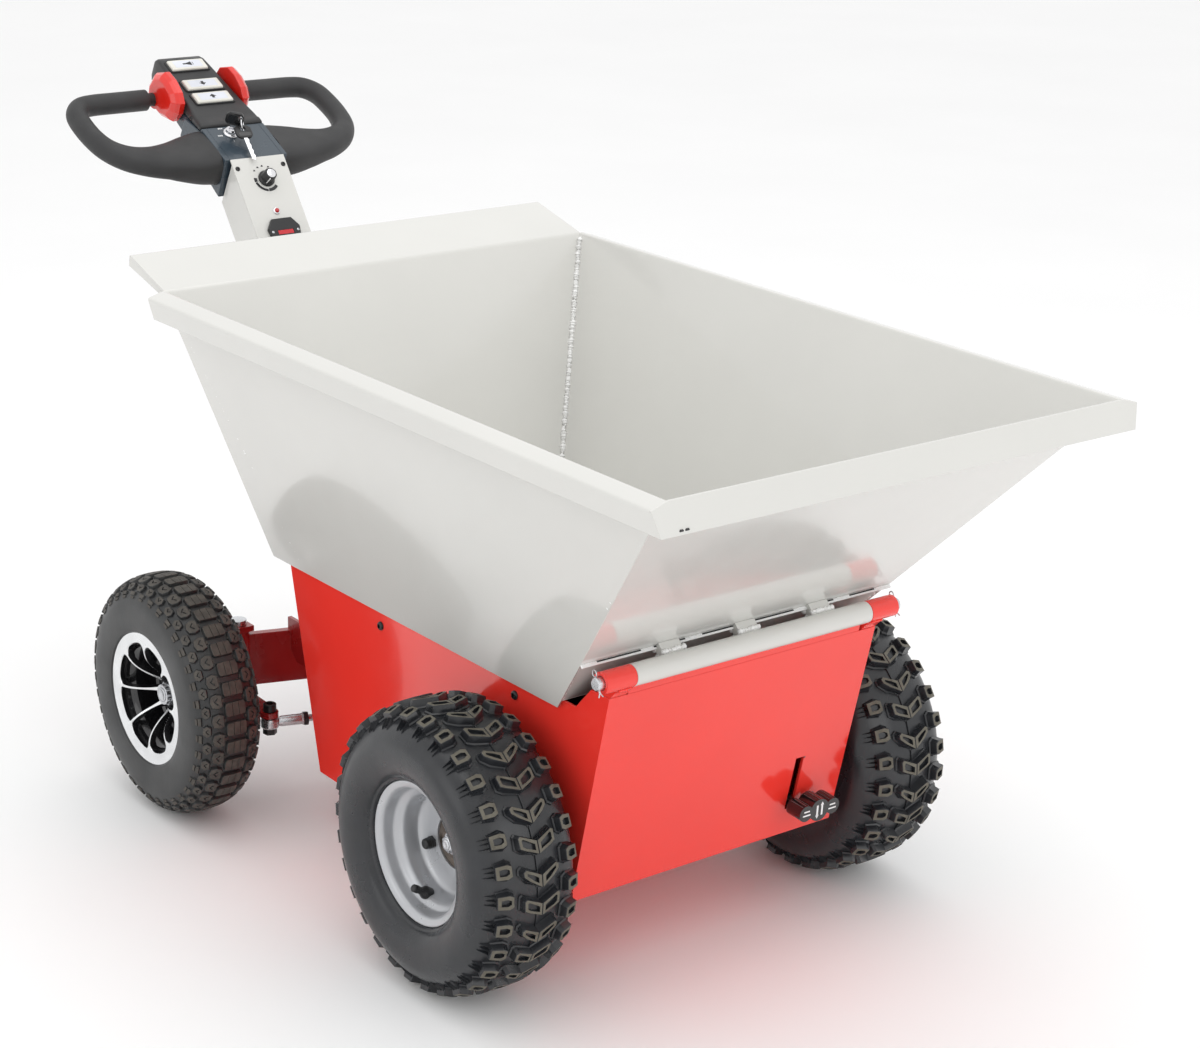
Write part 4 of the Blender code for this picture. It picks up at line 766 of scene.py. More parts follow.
def rear_tyre(side):
    centre = Vector((SIGN[side] * REAR_WHEEL.x, REAR_WHEEL.y, REAR_WHEEL.z))
    tread = Tread(centre, REAR_ENVELOPE, math.radians(1.5))
    pitch = math.tau * tread.radius / 38
    bm = carcass(centre, REAR_BEAD, REAR_SKIN, REAR_INSIDE, 0.1605, 96)
    for number in range(38):
        shift = pitch * number
        for outline in CENTRE_BLOCKS:
            add_block(bm, tread, mm(outline),
                      BLOCK_LEVELS[1:] if outline is CENTRE_BLOCKS[1] else BLOCK_LEVELS,
                      shift=shift)
        for sign in (1.0, -1.0):
            add_block(bm, tread, mm(HOUSE_BLOCK[0], sign), BLOCK_LEVELS, mm(HOUSE_BLOCK[1], sign), 0.0016,
                      shift + 0.5 * pitch)
            add_block(bm, tread, mm(HEXAGON_BLOCK[0], sign), BLOCK_LEVELS, mm(HEXAGON_BLOCK[1], sign), 0.0014,
                      shift)
            for start, stop, half in ((49.5, 54.5, 6.0), (56.0, 59.5, 5.0)):
                low = [(start, -half), (start, half), (stop, half), (stop, -half)]
                add_block(bm, tread, mm(low, sign), LOW_LEVELS, shift=shift + 0.5 * pitch)
            bridge = [(15.0, -2.2), (15.0, 2.2), (19.0, 2.2), (19.0, -2.2)]
            add_block(bm, tread, mm(bridge, sign), [(-0.006, 0.001), (-0.0032, 0.0), (-0.003, -0.0003)],
                      shift=shift + 0.5 * pitch)
    for number in range(20):
        for sign in (1.0, -1.0):
            add_sidewall_dash(bm, centre, sign, 0.1120, math.tau * number / 20, 0.0496)
    bmesh.ops.recalc_face_normals(bm, faces=bm.faces)
    name = f"rear_tyre_{side}"
    piece(f"{name}_rubber", bm, f"rear_wheel_{side}", "tyre", SIDEWALL, BLOCK_TOP, replaces=(name,),
          angle=24.0)


# ---- rims ---------------------------------------------------------------------------------


def front_rim(side):
    """A deep steel rim, silver painted, with a rolled lip and rounded steps."""
    outside = smooth_line([(0.0572, 0.0888), (0.0585, 0.0882), (0.0588, 0.0866), (0.0578, 0.0838),
                           (0.0560, 0.0800),
                           (0.0520, 0.0776), (0.0440, 0.0768), (0.0392, 0.0752), (0.0360, 0.0700),
                           (0.0325, 0.0662),
                           (0.0260, 0.0652), (0.0150, 0.0648), (0.0105, 0.0620), (0.0078, 0.0560),
                           (0.0062, 0.0480),
                           (0.0058, 0.0400), (0.0056, 0.0330)], 4)
    inside = [(0.0020, 0.0330), (0.0022, 0.0500), (0.0000, 0.0620), (-0.0320, 0.0645), (-0.0390, 0.0750),
              (-0.0570, 0.0766), (-0.0588, 0.0866), (-0.0572, 0.0888)]
    barrel = [(-0.0556, 0.0884), (-0.0538, 0.0794), (-0.0365, 0.0780), (-0.0295, 0.0675), (0.0295, 0.0675),
              (0.0365, 0.0780), (0.0538, 0.0794), (0.0556, 0.0884)]
    section = [(p.x, p.y) for p in outside] + inside + barrel
    place = mirrored(side) @ Matrix.Translation(FRONT_WHEEL)
    name = f"front_rim_{side}"
    body = f"front_wheel_{side}"
    piece(f"{name}_steel", turned(section, 96, place), body, "silver_paint", SILVER, replaces=(name,),
          angle=40.0)

    hub = [(0.1500, 0.0), (0.1500, 0.0105), (0.2620, 0.0105), (0.2620, 0.0220), (0.2800, 0.0220),
           (0.2800, 0.0310),
           (0.2930, 0.0318), (0.2938, 0.0300), (0.2938, 0.0215), (0.2955, 0.0200), (0.2968, 0.0170),
           (0.2968, 0.0)]
    axle = mirrored(side) @ Matrix.Translation((0.0, 0.0, FRONT_WHEEL.z))
    name = f"axle_shaft_{side}"
    piece(f"{name}_hub", turned(hub, 64, axle), body, "zinc", STEEL, replaces=(name,), angle=35.0)
    washer = turned([(0.2966, 0.0), (0.2966, 0.0140), (0.2980, 0.0140), (0.2980, 0.0)], 40, axle)
    nut = prism(hexagon(0.0112, 0.3), 0.2978, 0.3035)
    thread = turned([(0.3030, 0.0), (0.3030, 0.0062), (0.3040, 0.0068), (0.3058, 0.0066), (0.3063, 0.0052),
                     (0.3063, 0.0028), (0.3052, 0.0)], 32, axle)
    collar = turned([(0.3033, 0.0), (0.3033, 0.0098), (0.3048, 0.0080), (0.3048, 0.0)], 32, axle)
    shapes = joined([washer, moved(nut, axle), collar, thread])
    piece(f"hub_nut_{side}", shapes, body, "zinc", ZINC, bevel=0.0006)
    caps = []
    for angle in (200, 80, -40):
        turn = math.radians(angle)
        at = Vector((0.2945, -0.045 * math.cos(turn), FRONT_WHEEL.z + 0.045 * math.sin(turn)))
        place = mirrored(side) @ Matrix.Translation(at)
        caps.append(moved(prism(hexagon(0.0082, turn), 0.0, 0.0060), place))
        caps.append(turned([(0.0058, 0.0), (0.0058, 0.0070), (0.0118, 0.0066), (0.0132, 0.0052),
                            (0.0132, 0.0)], 24,
                           place))
    piece(f"rim_bolts_{side}", joined(caps), body, "black_plastic", BLACK_PARTS, bevel=0.0007)
    valve_at = Vector((0.3240, 0.0157, FRONT_WHEEL.z - 0.0631))
    stem = [(-0.0080, 0.0), (-0.0080, 0.0078), (0.0, 0.0082), (0.0024, 0.0072), (0.0048, 0.0054),
            (0.0080, 0.0046),
            (0.0125, 0.0042), (0.0128, 0.0050), (0.0192, 0.0048), (0.0206, 0.0036), (0.0206, 0.0)]
    place = mirrored(side) @ Matrix.Translation(valve_at) @ Matrix.Rotation(math.radians(-32), 4, "Y")
    piece(f"tyre_valve_{side}", turned(stem, 28, place), body, "black_plastic", BLACK_PARTS, angle=50.0)


# The machined ring: how far out, how far from the windows' edge to the ring's radius, a shift in
# radius, and the look up to the next line
RING_RADIUS, RING_SIDES = 0.0888, 240
RING_PROFILE = [(0.0340, 0.0, 0.0004, 1), (0.0430, 0.0, -0.0002, 0), (0.0442, 0.0, 0.0008, 0),
                (0.0446, 0.35, 0.0, 0),
                (0.0450, 0.75, 0.0, 0), (0.0458, 1.0, 0.0, 0), (0.0460, 1.0, 0.0020, 0),
                (0.0452, 1.0, 0.0032, 0),
                (0.0420, 1.0, 0.0028, 1), (0.0400, 1.0, -0.0094, 1), (0.0345, 1.0, -0.0102, 1)]


def rim_edge(turn):
    """The radius of the windows' outer edge, with a round corner at each side of a spoke."""
    gap = (math.degrees(turn) + 22.5) % 45.0 - 22.5
    fillet = 0.0135
    across = max(0.0, math.radians(abs(gap)) * 0.070 - 0.0012)
    short = max(0.0, fillet - across)
    return 0.0762 - (fillet - math.sqrt(fillet ** 2 - short ** 2))


def spoke_shape(turn):
    """A thin spoke from the ring, over the dish and down to the hub."""
    path = [(0.0745, 0.0440, 3.4), (0.0690, 0.0440, 2.3), (0.0620, 0.0434, 1.7), (0.0540, 0.0408, 1.4),
            (0.0460, 0.0360, 1.3), (0.0385, 0.0295, 1.35), (0.0320, 0.0225, 1.6), (0.0265, 0.0160, 2.2),
            (0.0225, 0.0110, 3.2)]
    path = smooth_line(path, 4)
    bm = bmesh.new()
    sections = []
    for number, (reach, out, half) in enumerate(path):
        half *= 0.001
        near = path[max(number - 1, 0)]
        far = path[min(number + 1, len(path) - 1)]
        along = Vector((far[1] - near[1], far[0] - near[0])).normalized()
        inward = Vector((along.y, -along.x)) * 0.0075
        if inward.x > 0:
            inward = -inward
        corners = [(out, reach, -half), (out, reach, half), (out + inward.x, reach + inward.y, half + 0.0016),
                   (out + inward.x, reach + inward.y, -half - 0.0016)]
        spin = Matrix.Rotation(turn, 3, "X")
        sections.append([bm.verts.new(spin @ Vector((o, r, w))) for o, r, w in corners])
    for near, far in zip(sections, sections[1:]):
        for k in range(4):
            face = bm.faces.new((near[k], near[(k + 1) % 4], far[(k + 1) % 4], far[k]))
            face.material_index = 0 if k == 0 else 1
    bm.faces.new(sections[0])
    bm.faces.new(sections[-1])
    bmesh.ops.recalc_face_normals(bm, faces=bm.faces)
    return bm


def rear_rim(side):
    """Black painted rim with a machined ring, eight windows and eight thin spokes."""
    name, body = f"rear_rim_{side}", f"rear_wheel_{side}"
    place = mirrored(side) @ Matrix.Translation(REAR_WHEEL) @ Matrix.Rotation(math.radians(-3), 4, "X")
    barrel = [(0.0352, 0.0770), (0.0350, 0.0738), (0.0300, 0.0728), (0.0272, 0.0690), (0.0238, 0.0662),
              (0.0100, 0.0656),
              (-0.0060, 0.0650), (-0.0090, 0.0620), (-0.0100, 0.0480), (-0.0102, 0.0250), (0.0080, 0.0246),
              (0.0100, 0.0236), (0.0105, 0.0200), (0.0105, 0.0106), (-0.0300, 0.0106), (-0.0300, 0.0240),
              (-0.0150, 0.0250), (-0.0150, 0.0600), (-0.0200, 0.0640), (-0.0290, 0.0735), (-0.0440, 0.0765),
              (-0.0460, 0.0885), (-0.0450, 0.0898), (-0.0430, 0.0890), (-0.0398, 0.0794), (-0.0260, 0.0775),
              (-0.0200, 0.0672), (0.0200, 0.0672), (0.0260, 0.0775), (0.0340, 0.0788)]
    piece(f"{name}_dish", turned(barrel, 96, place), body, "black_paint", BLACK_GLOSS, replaces=(name,),
          angle=35.0)
    bm = bmesh.new()
    rings = []
    for out, share, shift, _ in RING_PROFILE:
        ring = []
        for k in range(RING_SIDES):
            turn = math.tau * k / RING_SIDES
            edge = rim_edge(turn)
            radius = edge + share * (RING_RADIUS - edge) + shift
            ring.append(bm.verts.new((out, radius * math.cos(turn), radius * math.sin(turn))))
        rings.append(ring)
    skin(bm, rings, wrapped=True, looks=[look for _, _, _, look in RING_PROFILE])
    bmesh.ops.recalc_face_normals(bm, faces=bm.faces)
    spokes = [spoke_shape(math.radians(45 * k)) for k in range(8)]
    shapes = moved(joined([bm] + spokes), place)
    piece(f"{name}_face", shapes, body, "silver_paint", SPUN[side], BLACK_GLOSS, angle=35.0)
    ends = turned([(0.0104, 0.0112), (0.0104, 0.0170), (0.0112, 0.0176), (0.0122, 0.0170), (0.0122, 0.0112)],
                  40, place)
    piece(f"hub_bearing_{side}", ends, body, "zinc", ZINC, angle=35.0)


def build_wheels():
    front_tyre("right", -4.0)
    front_tyre("left", 3.5)
    for side in ("left", "right"):
        front_rim(side)
        rear_tyre(side)
        rear_rim(side)


# ---- chassis and hinge --------------------------------------------------------------------


def panel_y(z):
    share = (z - PANEL_FOOT.y) / (PANEL_TOP.y - PANEL_FOOT.y)
    return PANEL_FOOT.x + share * (PANEL_TOP.x - PANEL_FOOT.x)


def wall_y(z):
    share = (z - WALL_FOOT.y) / (WALL_TOP.y - WALL_FOOT.y)
    return WALL_FOOT.x + share * (WALL_TOP.x - WALL_FOOT.x)


def build_chassis():
    """The welded box, with its screws, the beads inside its corners and a black disc at the slot's end,
    painted shade of its hole.
    """
    finer("chassis_shell", 0.0011, "red_paint", RED)
    finer("rear_cover", 0.0007, "red_paint", RED)
    screws = []
    for sign in (1.0, -1.0):
        for y, z in ((0.2896, 0.3426), (0.0021, 0.3468)):
            at = Vector((sign * CHASSIS_HALF_WIDTH, y, z))
            screws.append(screw_head(frame_along(at, (sign, 0.0, 0.0), (0.0, 1.0, 0.0)), 0.0058, 0.0034,
                                     0.0028))
    back = Vector((0.0, math.sin(math.radians(75.7)), -math.cos(math.radians(75.7))))
    for x in (-0.138, 0.0, 0.138):
        for z in (0.271, 0.343):
            at = Vector((x, wall_y(z) + 0.0028, z))
            screws.append(screw_head(frame_along(at, back), 0.0052, 0.0030, 0.0025))
    piece("chassis_screws", joined(screws), "chassis", "black_plastic", BLACK_PARTS, angle=40.0)
    # A thin black disc at the slot's end: painted shade of the open hole there.
    slot_end = (0.1345, 0.2345)
    relief = arc(slot_end, 0.0022, -90, 180, 12) + [slot_end]
    hole_shade = prism(relief, -0.0002, 0.0004, "Y")
    lean = Matrix.Translation((0.0, panel_y(slot_end[1]) + 0.0002, 0.0))
    piece("slot_hole_painted_shade", moved(hole_shade, lean), "chassis", "black_paint", INK_AND_SHADE)
    beads = []
    for number, sign in enumerate((1.0, -1.0)):
        x = sign * (CHASSIS_HALF_WIDTH - 0.004)
        for z0, z1 in ((0.14, 0.19), (0.24, 0.29), (0.33, 0.37)):
            start = Vector((x, panel_y(z0) + 0.0042, z0))
            end = Vector((x, panel_y(z1) + 0.0042, z1))
            beads.append(weld_bead(start, end, 0.0019, 3.0 + number))
    piece("chassis_welds", joined(beads), "chassis", "red_paint", RED, angle=60.0)


def build_hinge():
    """The sleeves, the pin, and the hopper's pipe with its weld tabs."""
    for side, sign in SIGN.items():
        finer(f"hinge_sleeve_{side}", 0.0008, "red_paint", RED)
        bead = weld_bead((sign * 0.1845, -0.1905, 0.4168), (sign * 0.2040, -0.1905, 0.4168), 0.0016, 7.0)
        piece(f"sleeve_weld_{side}", bead, "chassis", "red_paint", RED, angle=60.0)
        build_cotter(side)
    end = [(-0.2330, 0.0), (-0.2330, 0.0066), (-0.2318, 0.0080), (0.2318, 0.0080), (0.2330, 0.0066),
           (0.2330, 0.0)]
    at = Matrix.Translation((0.0, HINGE.x, HINGE.y))
    piece("hinge_pin_steel", turned(end, 48, at), "chassis", "zinc", ZINC, replaces=("hinge_pin",),
          angle=35.0)
    tube = [(-0.1812, 0.0086), (-0.1812, 0.0129), (-0.1808, 0.01335), (0.1808, 0.01335), (0.1812, 0.0129),
            (0.1812, 0.0086)]
    shapes = [turned(tube, 64, at)]
    beads = []
    for number, x in enumerate((-0.115, 0.0, 0.115)):
        corners = [HINGE - WALL_OUT * reach - WALL_UP * half for reach, half in
                   ((0.0095, 0.006), (0.0268, 0.006), (0.0268, -0.006), (0.0095, -0.006))]
        shapes.append(prism(corners, x - 0.015, x + 0.015))
        for reach, half, size in ((0.0150, 0.0062, 0.0034), (0.0232, 0.0060, 0.0032),
                                  (0.0150, -0.0062, 0.0030)):
            spot = HINGE - WALL_OUT * reach - WALL_UP * half
            beads.append(weld_bead((x - 0.0175, spot.x, spot.y), (x + 0.0175, spot.x, spot.y), size, number))
    piece("hinge_tube_grey", joined(shapes), "hopper", "grey_paint", GREY, replaces=("hopper_hinge_tube",),
          bevel=0.0006)
    # the tab welds' lighter grey is painted highlight
    piece("hinge_tab_welds", joined(beads), "hopper", "grey_paint", WELD_HIGHLIGHT, angle=60.0)


def build_cotter(side):
    """A split pin: a looped eye, and two legs that part below the hinge pin."""
    at = Vector((0.2292, HINGE.x, HINGE.y))
    place = mirrored(side) @ Matrix.Translation(at) @ Matrix.Rotation(math.radians(-28), 4, "X")
    eye = [(0.0, 0.0036 * math.sin(t), 0.0122 - 0.0040 * math.cos(t)) for t in
           [math.radians(20 + 320 * k / 20) for k in range(21)]]
    loop = [(0.0, 0.0007, 0.0080)] + eye + [(0.0, -0.0007, 0.0080)]
    legs = [[(0.0, sign * 0.0007, 0.0082), (0.0, sign * 0.0007, -0.0088), (0.0, sign * 0.0016, -0.0118),
             (0.0, sign * 0.0042, -0.0150)] for sign in (1, -1)]
    shapes = [swept(smooth_line(path, 4), 0.0008, 10) for path in [loop] + legs]
    piece(f"cotter_wire_{side}", moved(joined(shapes), place), "chassis", "zinc", ZINC,
          replaces=(f"cotter_pin_{side}",), angle=50.0)


# ---- hopper -------------------------------------------------------------------------------


def side_half_width(z):
    slope = (RIM_HALF_WIDTH + HOPPER_SHEET - SEAM_HALF_WIDTH) / (RIM_Z - SEAM.y)
    return SEAM_HALF_WIDTH + (z - SEAM.y) * slope


def front_wall_y(z):
    slope = (RIM_FRONT_Y - 0.0022 - SEAM.x) / (RIM_Z - SEAM.y)
    if z < SEAM.y:
        slope = LOWER_FRONT_SLOPE
    return SEAM.x + (z - SEAM.y) * slope


def back_wall_y(z):
    return RIM_REAR_Y + HOPPER_SHEET + (z - RIM_Z) * BACK_WALL_SLOPE


def sheet(name, rows, replaces=()):
    """Bent sheet metal: rows of middle-surface points given thickness and soft edges."""
    bm = bmesh.new()
    verts = [[bm.verts.new(p) for p in row] for row in rows]
    for near, far in zip(verts, verts[1:]):
        for k in range(len(near) - 1):
            bm.faces.new((near[k], near[k + 1], far[k + 1], far[k]))
    bmesh.ops.recalc_face_normals(bm, faces=bm.faces)
    obj = piece(name, bm, "hopper", "grey_paint", GREY, replaces=replaces, angle=50.0)
    solid = obj.modifiers.new("thickness", "SOLIDIFY")
    solid.thickness = HOPPER_SHEET
    solid.offset = 0.0
    solid.use_even_offset = True
    round_edges(obj, 0.0007, 2, 50.0)


def leaning_wall_y(z):
    """The outer face of the back wall, which leans in between the side walls' rear edges."""
    return RIM_REAR_Y + HOPPER_SHEET + (z - RIM_Z) * INNER_BACK_SLOPE


def spaced(first, last, count):
    return [Vector(first).lerp(Vector(last), k / (count - 1)) for k in range(count)]


def level_row(half, y, z):
    return spaced((-half, y, z), (half, y, z), 12)


def off_seam(*offsets):
    """Corners off the seam, each so far out from the lower wall and so far up along it."""
    return [SEAM + WALL_OUT * out + WALL_UP * up for out, up in offsets]


def build_hopper():
    """Bent sheets for the walls, rim, apron and pan, and the plate in front."""
    half_sheet = 0.5 * HOPPER_SHEET
    lean = half_sheet * 1.06
    for side, sign in SIGN.items():
        wall_top = (side_half_width(0.7240) - lean, 0.7240)
        levels = [(side_half_width(z) - lean, z) for z in (SKIRT_Z, SEAM.y)] + [wall_top]
        rim = filleted([wall_top, (0.3352, 0.7290), (0.3574, 0.7228), (0.3494, 0.6947)], 0.0030, 5)[1:]
        rows = []
        for x, z in levels + [tuple(p) for p in rim]:
            on_wall = z <= wall_top[1] + 1e-6 and x < 0.3365
            front = front_wall_y(z) if on_wall else RIM_FRONT_Y - 0.0020 - (RIM_Z - z) * LIP_SLOPE
            back = back_wall_y(z) if on_wall else RIM_REAR_Y + 0.0005
            rows.append(spaced((sign * x, front, z), (sign * x, back, z), 12))
        sheet(f"hopper_side_{side}", rows, replaces=("hopper",) if side == "left" else ())

    rows = []
    for z in (PAN_Z - half_sheet, 0.56, 0.7245):
        half = side_half_width(z) - 0.0006
        y = leaning_wall_y(z) - half_sheet
        rows.append(level_row(half, y, z))
    bend = filleted([(leaning_wall_y(0.7245) - half_sheet, 0.7245), (RIM_REAR_Y + 0.0020, 0.7288),
                     (0.6940, 0.7560),
                     (0.6945, 0.7478)], 0.0030, 5)[1:]
    for y, z in bend:
        half = 0.3304 if z > 0.7300 else RIM_HALF_WIDTH
        rows.append(level_row(half, y, z))
    sheet("hopper_back", rows)
    for side, sign in SIGN.items():
        x = sign * (0.3304 - half_sheet)
        top = [(RIM_REAR_Y + 0.0008, 0.7284), (0.6935, 0.7556)]
        foot = [(RIM_REAR_Y + 0.0120, 0.7184), (0.6975, 0.7420)]
        rows = [spaced((x, y0, z0), (x, y1, z1), 3) for (y0, z0), (y1, z1) in zip(top, foot)]
        sheet(f"apron_fold_{side}", rows)

    rows = []
    for z in (SEAM.y + 0.0006, 0.58, RIM_Z - 0.0016):
        half = side_half_width(z) - 0.0006
        y = front_wall_y(z) + half_sheet
        rows.append(level_row(half, y, z))
    sheet("hopper_front_upper", rows)
    rows = []
    for z in (0.3740, SEAM.y + 0.0140):
        half = side_half_width(z) - 0.0012
        y = SEAM.x + 0.0036 + LOWER_FRONT_SLOPE * (z - SEAM.y)
        rows.append(level_row(half, y, z))
    sheet("hopper_front_lower", rows)
    half = SEAM_HALF_WIDTH - 0.0006
    ledge = off_seam((-0.0015, 0.0), (0.0046, 0.0), (0.0046, -0.0022), (-0.0015, -0.0022))
    # The ledge takes the lighter weld grey: a painted highlight as the white line along the seam.
    piece("hopper_seam_ledge_highlight", prism(ledge, -half, half), "hopper", "grey_paint", WELD_HIGHLIGHT, bevel=0.0004)
    profile = [(RIM_HALF_WIDTH, RIM_Z), (0.3586, 0.7238), (0.3504, 0.6943)]
    outline = [(-x, z) for x, z in reversed(profile)] + profile
    plate = prism(outline, -half_sheet, half_sheet, "Y")
    for vert in plate.verts:
        vert.co.y += RIM_FRONT_Y - 0.0013 - (RIM_Z - vert.co.z) * LIP_SLOPE
    piece("hopper_front_lip", plate, "hopper", "grey_paint", GREY, bevel=0.0008)
    marks = []
    for x in (-0.3235, -0.3160):
        z = 0.6985
        y = RIM_FRONT_Y - 0.0028 - (RIM_Z - z) * LIP_SLOPE
        place = frame_along(Vector((x, y, z)), (0.0, -1.0, -0.27))
        marks.append(turned([(-0.0008, 0.0), (-0.0008, 0.0016), (0.0002, 0.0016), (0.0002, 0.0)], 16, place,
                            lambda turn, along: 1.0 + 0.7 * abs(math.cos(turn))))
    piece("lip_drain_marks", joined(marks), "hopper", "grey_paint", INK_AND_SHADE)

    half = side_half_width(PAN_Z) - 0.002
    lengths = (front_wall_y(PAN_Z) + 0.003, 0.2, back_wall_y(PAN_Z) - 0.003)
    pan = [level_row(half, y, PAN_Z - half_sheet) for y in lengths]
    sheet("hopper_pan", pan)
    rows = []
    for z in (SKIRT_Z, PAN_Z):
        half, y = side_half_width(z) - 0.0006, back_wall_y(z) - half_sheet
        rows.append(level_row(half, y, z))
    sheet("hopper_rear_skirt", rows)
    build_lugs()
    build_hopper_welds()


def build_lugs():
    """The two slotted plates under the pan that the lift rod's pin runs in."""
    outline = [(-0.0330, 0.3745), (-0.0950, 0.3745), (-0.1010, 0.3680), (-0.1035, 0.3590), (-0.1000, 0.3480),
               (-0.0957, 0.3435), (-0.0705, 0.3254), (-0.0600, 0.3215), (-0.0480, 0.3265), (-0.0415, 0.3400)]
    head = Vector((-0.060, 0.340))
    reach = (HINGE - head).normalized() * 0.031
    tilt = math.degrees(math.atan2(reach.y, reach.x))
    slot = arc(head, 0.0126, tilt + 90, tilt + 270, 12) + arc(head + reach, 0.0126, tilt - 90, tilt + 90, 12)
    shapes = [prism(outline, low, low + 0.005) for low in (0.0150, -0.0200)]
    lugs = piece("actuator_lugs", joined(shapes), "hopper", "grey_paint", GREY)
    carved(lugs, [prism(slot, -0.03, 0.03)], 30.0)


def build_hopper_welds():
    """Beads inside the corners, stitches along the seam, and flat black strips in its gaps as painted shade.
    """
    beads = []
    inner = HOPPER_SHEET + 0.0006
    for number, sign in enumerate((1.0, -1.0)):
        def corner(z, at_front):
            x = sign * (side_half_width(z) - inner - (0.0 if at_front else 0.0012))
            y = front_wall_y(z) + 1.36 * inner if at_front else leaning_wall_y(z) - inner - 0.0012
            return Vector((x, y, z))

        beads.append(weld_bead(corner(PAN_Z + 0.002, False), corner(RIM_Z - 0.006, False), 0.0040,
                               10.0 + number))
        beads.append(weld_bead(corner(SEAM.y + 0.002, True), corner(RIM_Z - 0.010, True), 0.0024,
                               20.0 + number))
        beads.append(weld_bead(corner(PAN_Z + 0.002, True), corner(SEAM.y, True), 0.0024, 30.0 + number))
    # the corner welds' lighter grey is painted highlight
    piece("hopper_corner_welds", joined(beads), "hopper", "grey_paint", WELD_HIGHLIGHT, angle=60.0)
    # Flush black strips in the seam's gaps: painted shade where the gaps lie in shadow.
    gap_shades = []
    gap = off_seam((0.0004, -0.0004), (0.0022, -0.0004), (0.0022, 0.0002), (0.0004, 0.0002))
    for x0, x1 in ((-0.216, -0.1528), (-0.1337, -0.0873), (-0.0618, -0.0108), (0.0174, 0.0801),
                   (0.1061, 0.1443),
                   (0.1706, 0.2117)):
        gap_shades.append(prism(gap, x0, x1))
    piece("seam_gap_painted_shade", joined(gap_shades), "hopper", "grey_paint", INK_AND_SHADE)
    stitches = []
    y, z = SEAM + WALL_OUT * 0.0010
    for number, (x0, x1) in enumerate(((-0.236, -0.218), (-0.150, -0.136), (-0.085, -0.064), (-0.009, 0.016),
                                       (0.082, 0.104), (0.146, 0.169), (0.213, 0.236))):
        stitches.append(weld_bead((x0, y, z), (x1, y, z), 0.0011, 40.0 + number))
    # the stitches' lighter grey is painted highlight
    piece("seam_stitches", joined(stitches), "hopper", "grey_paint", WELD_HIGHLIGHT, angle=60.0)


# ---- lift, drive and lever ----------------------------------------------------------------


def build_running_gear():
    """The parts that need no more than their CAD shape with rounded edges."""
    for node, width, slot, look in (
            ("actuator_body", 0.0008, "black_paint", BLACK_GLOSS), ("actuator_rod", 0.0004, "chrome", CHROME),
            ("actuator_lower_pin", 0.0005, "zinc", ZINC), ("actuator_upper_pin", 0.0005, "zinc", ZINC),
            ("transaxle", 0.0020, "cast_metal", CAST), ("drive_motor", 0.0008, "black_paint", BLACK_GLOSS),
            ("battery_left", 0.0030, "black_plastic", PLASTIC),
                                    ("battery_right", 0.0030, "black_plastic", PLASTIC),
            ("motor_controller", 0.0020, "cast_metal", CAST),
                                    # the axle beam's darker red is painted shade
                                    ("rear_axle_beam", 0.0010, "dark_red_paint", SHADED_RED),
            ("steering_shaft", 0.0006, "zinc", ZINC), ("pitman_arm", 0.0008, "zinc", ZINC),
            ("pitman_bolt", 0.0006, "zinc", ZINC), ("tiller_column", 0.0008, "grey_paint", GREY),
            ("tiller_cover", 0.0006, "grey_paint", GREY), ("switch_housing", 0.0014, "slate_paint", SLATE),
            ("throttle_shaft", 0.0004, "zinc", ZINC)):
        finer(node, width, slot, look)


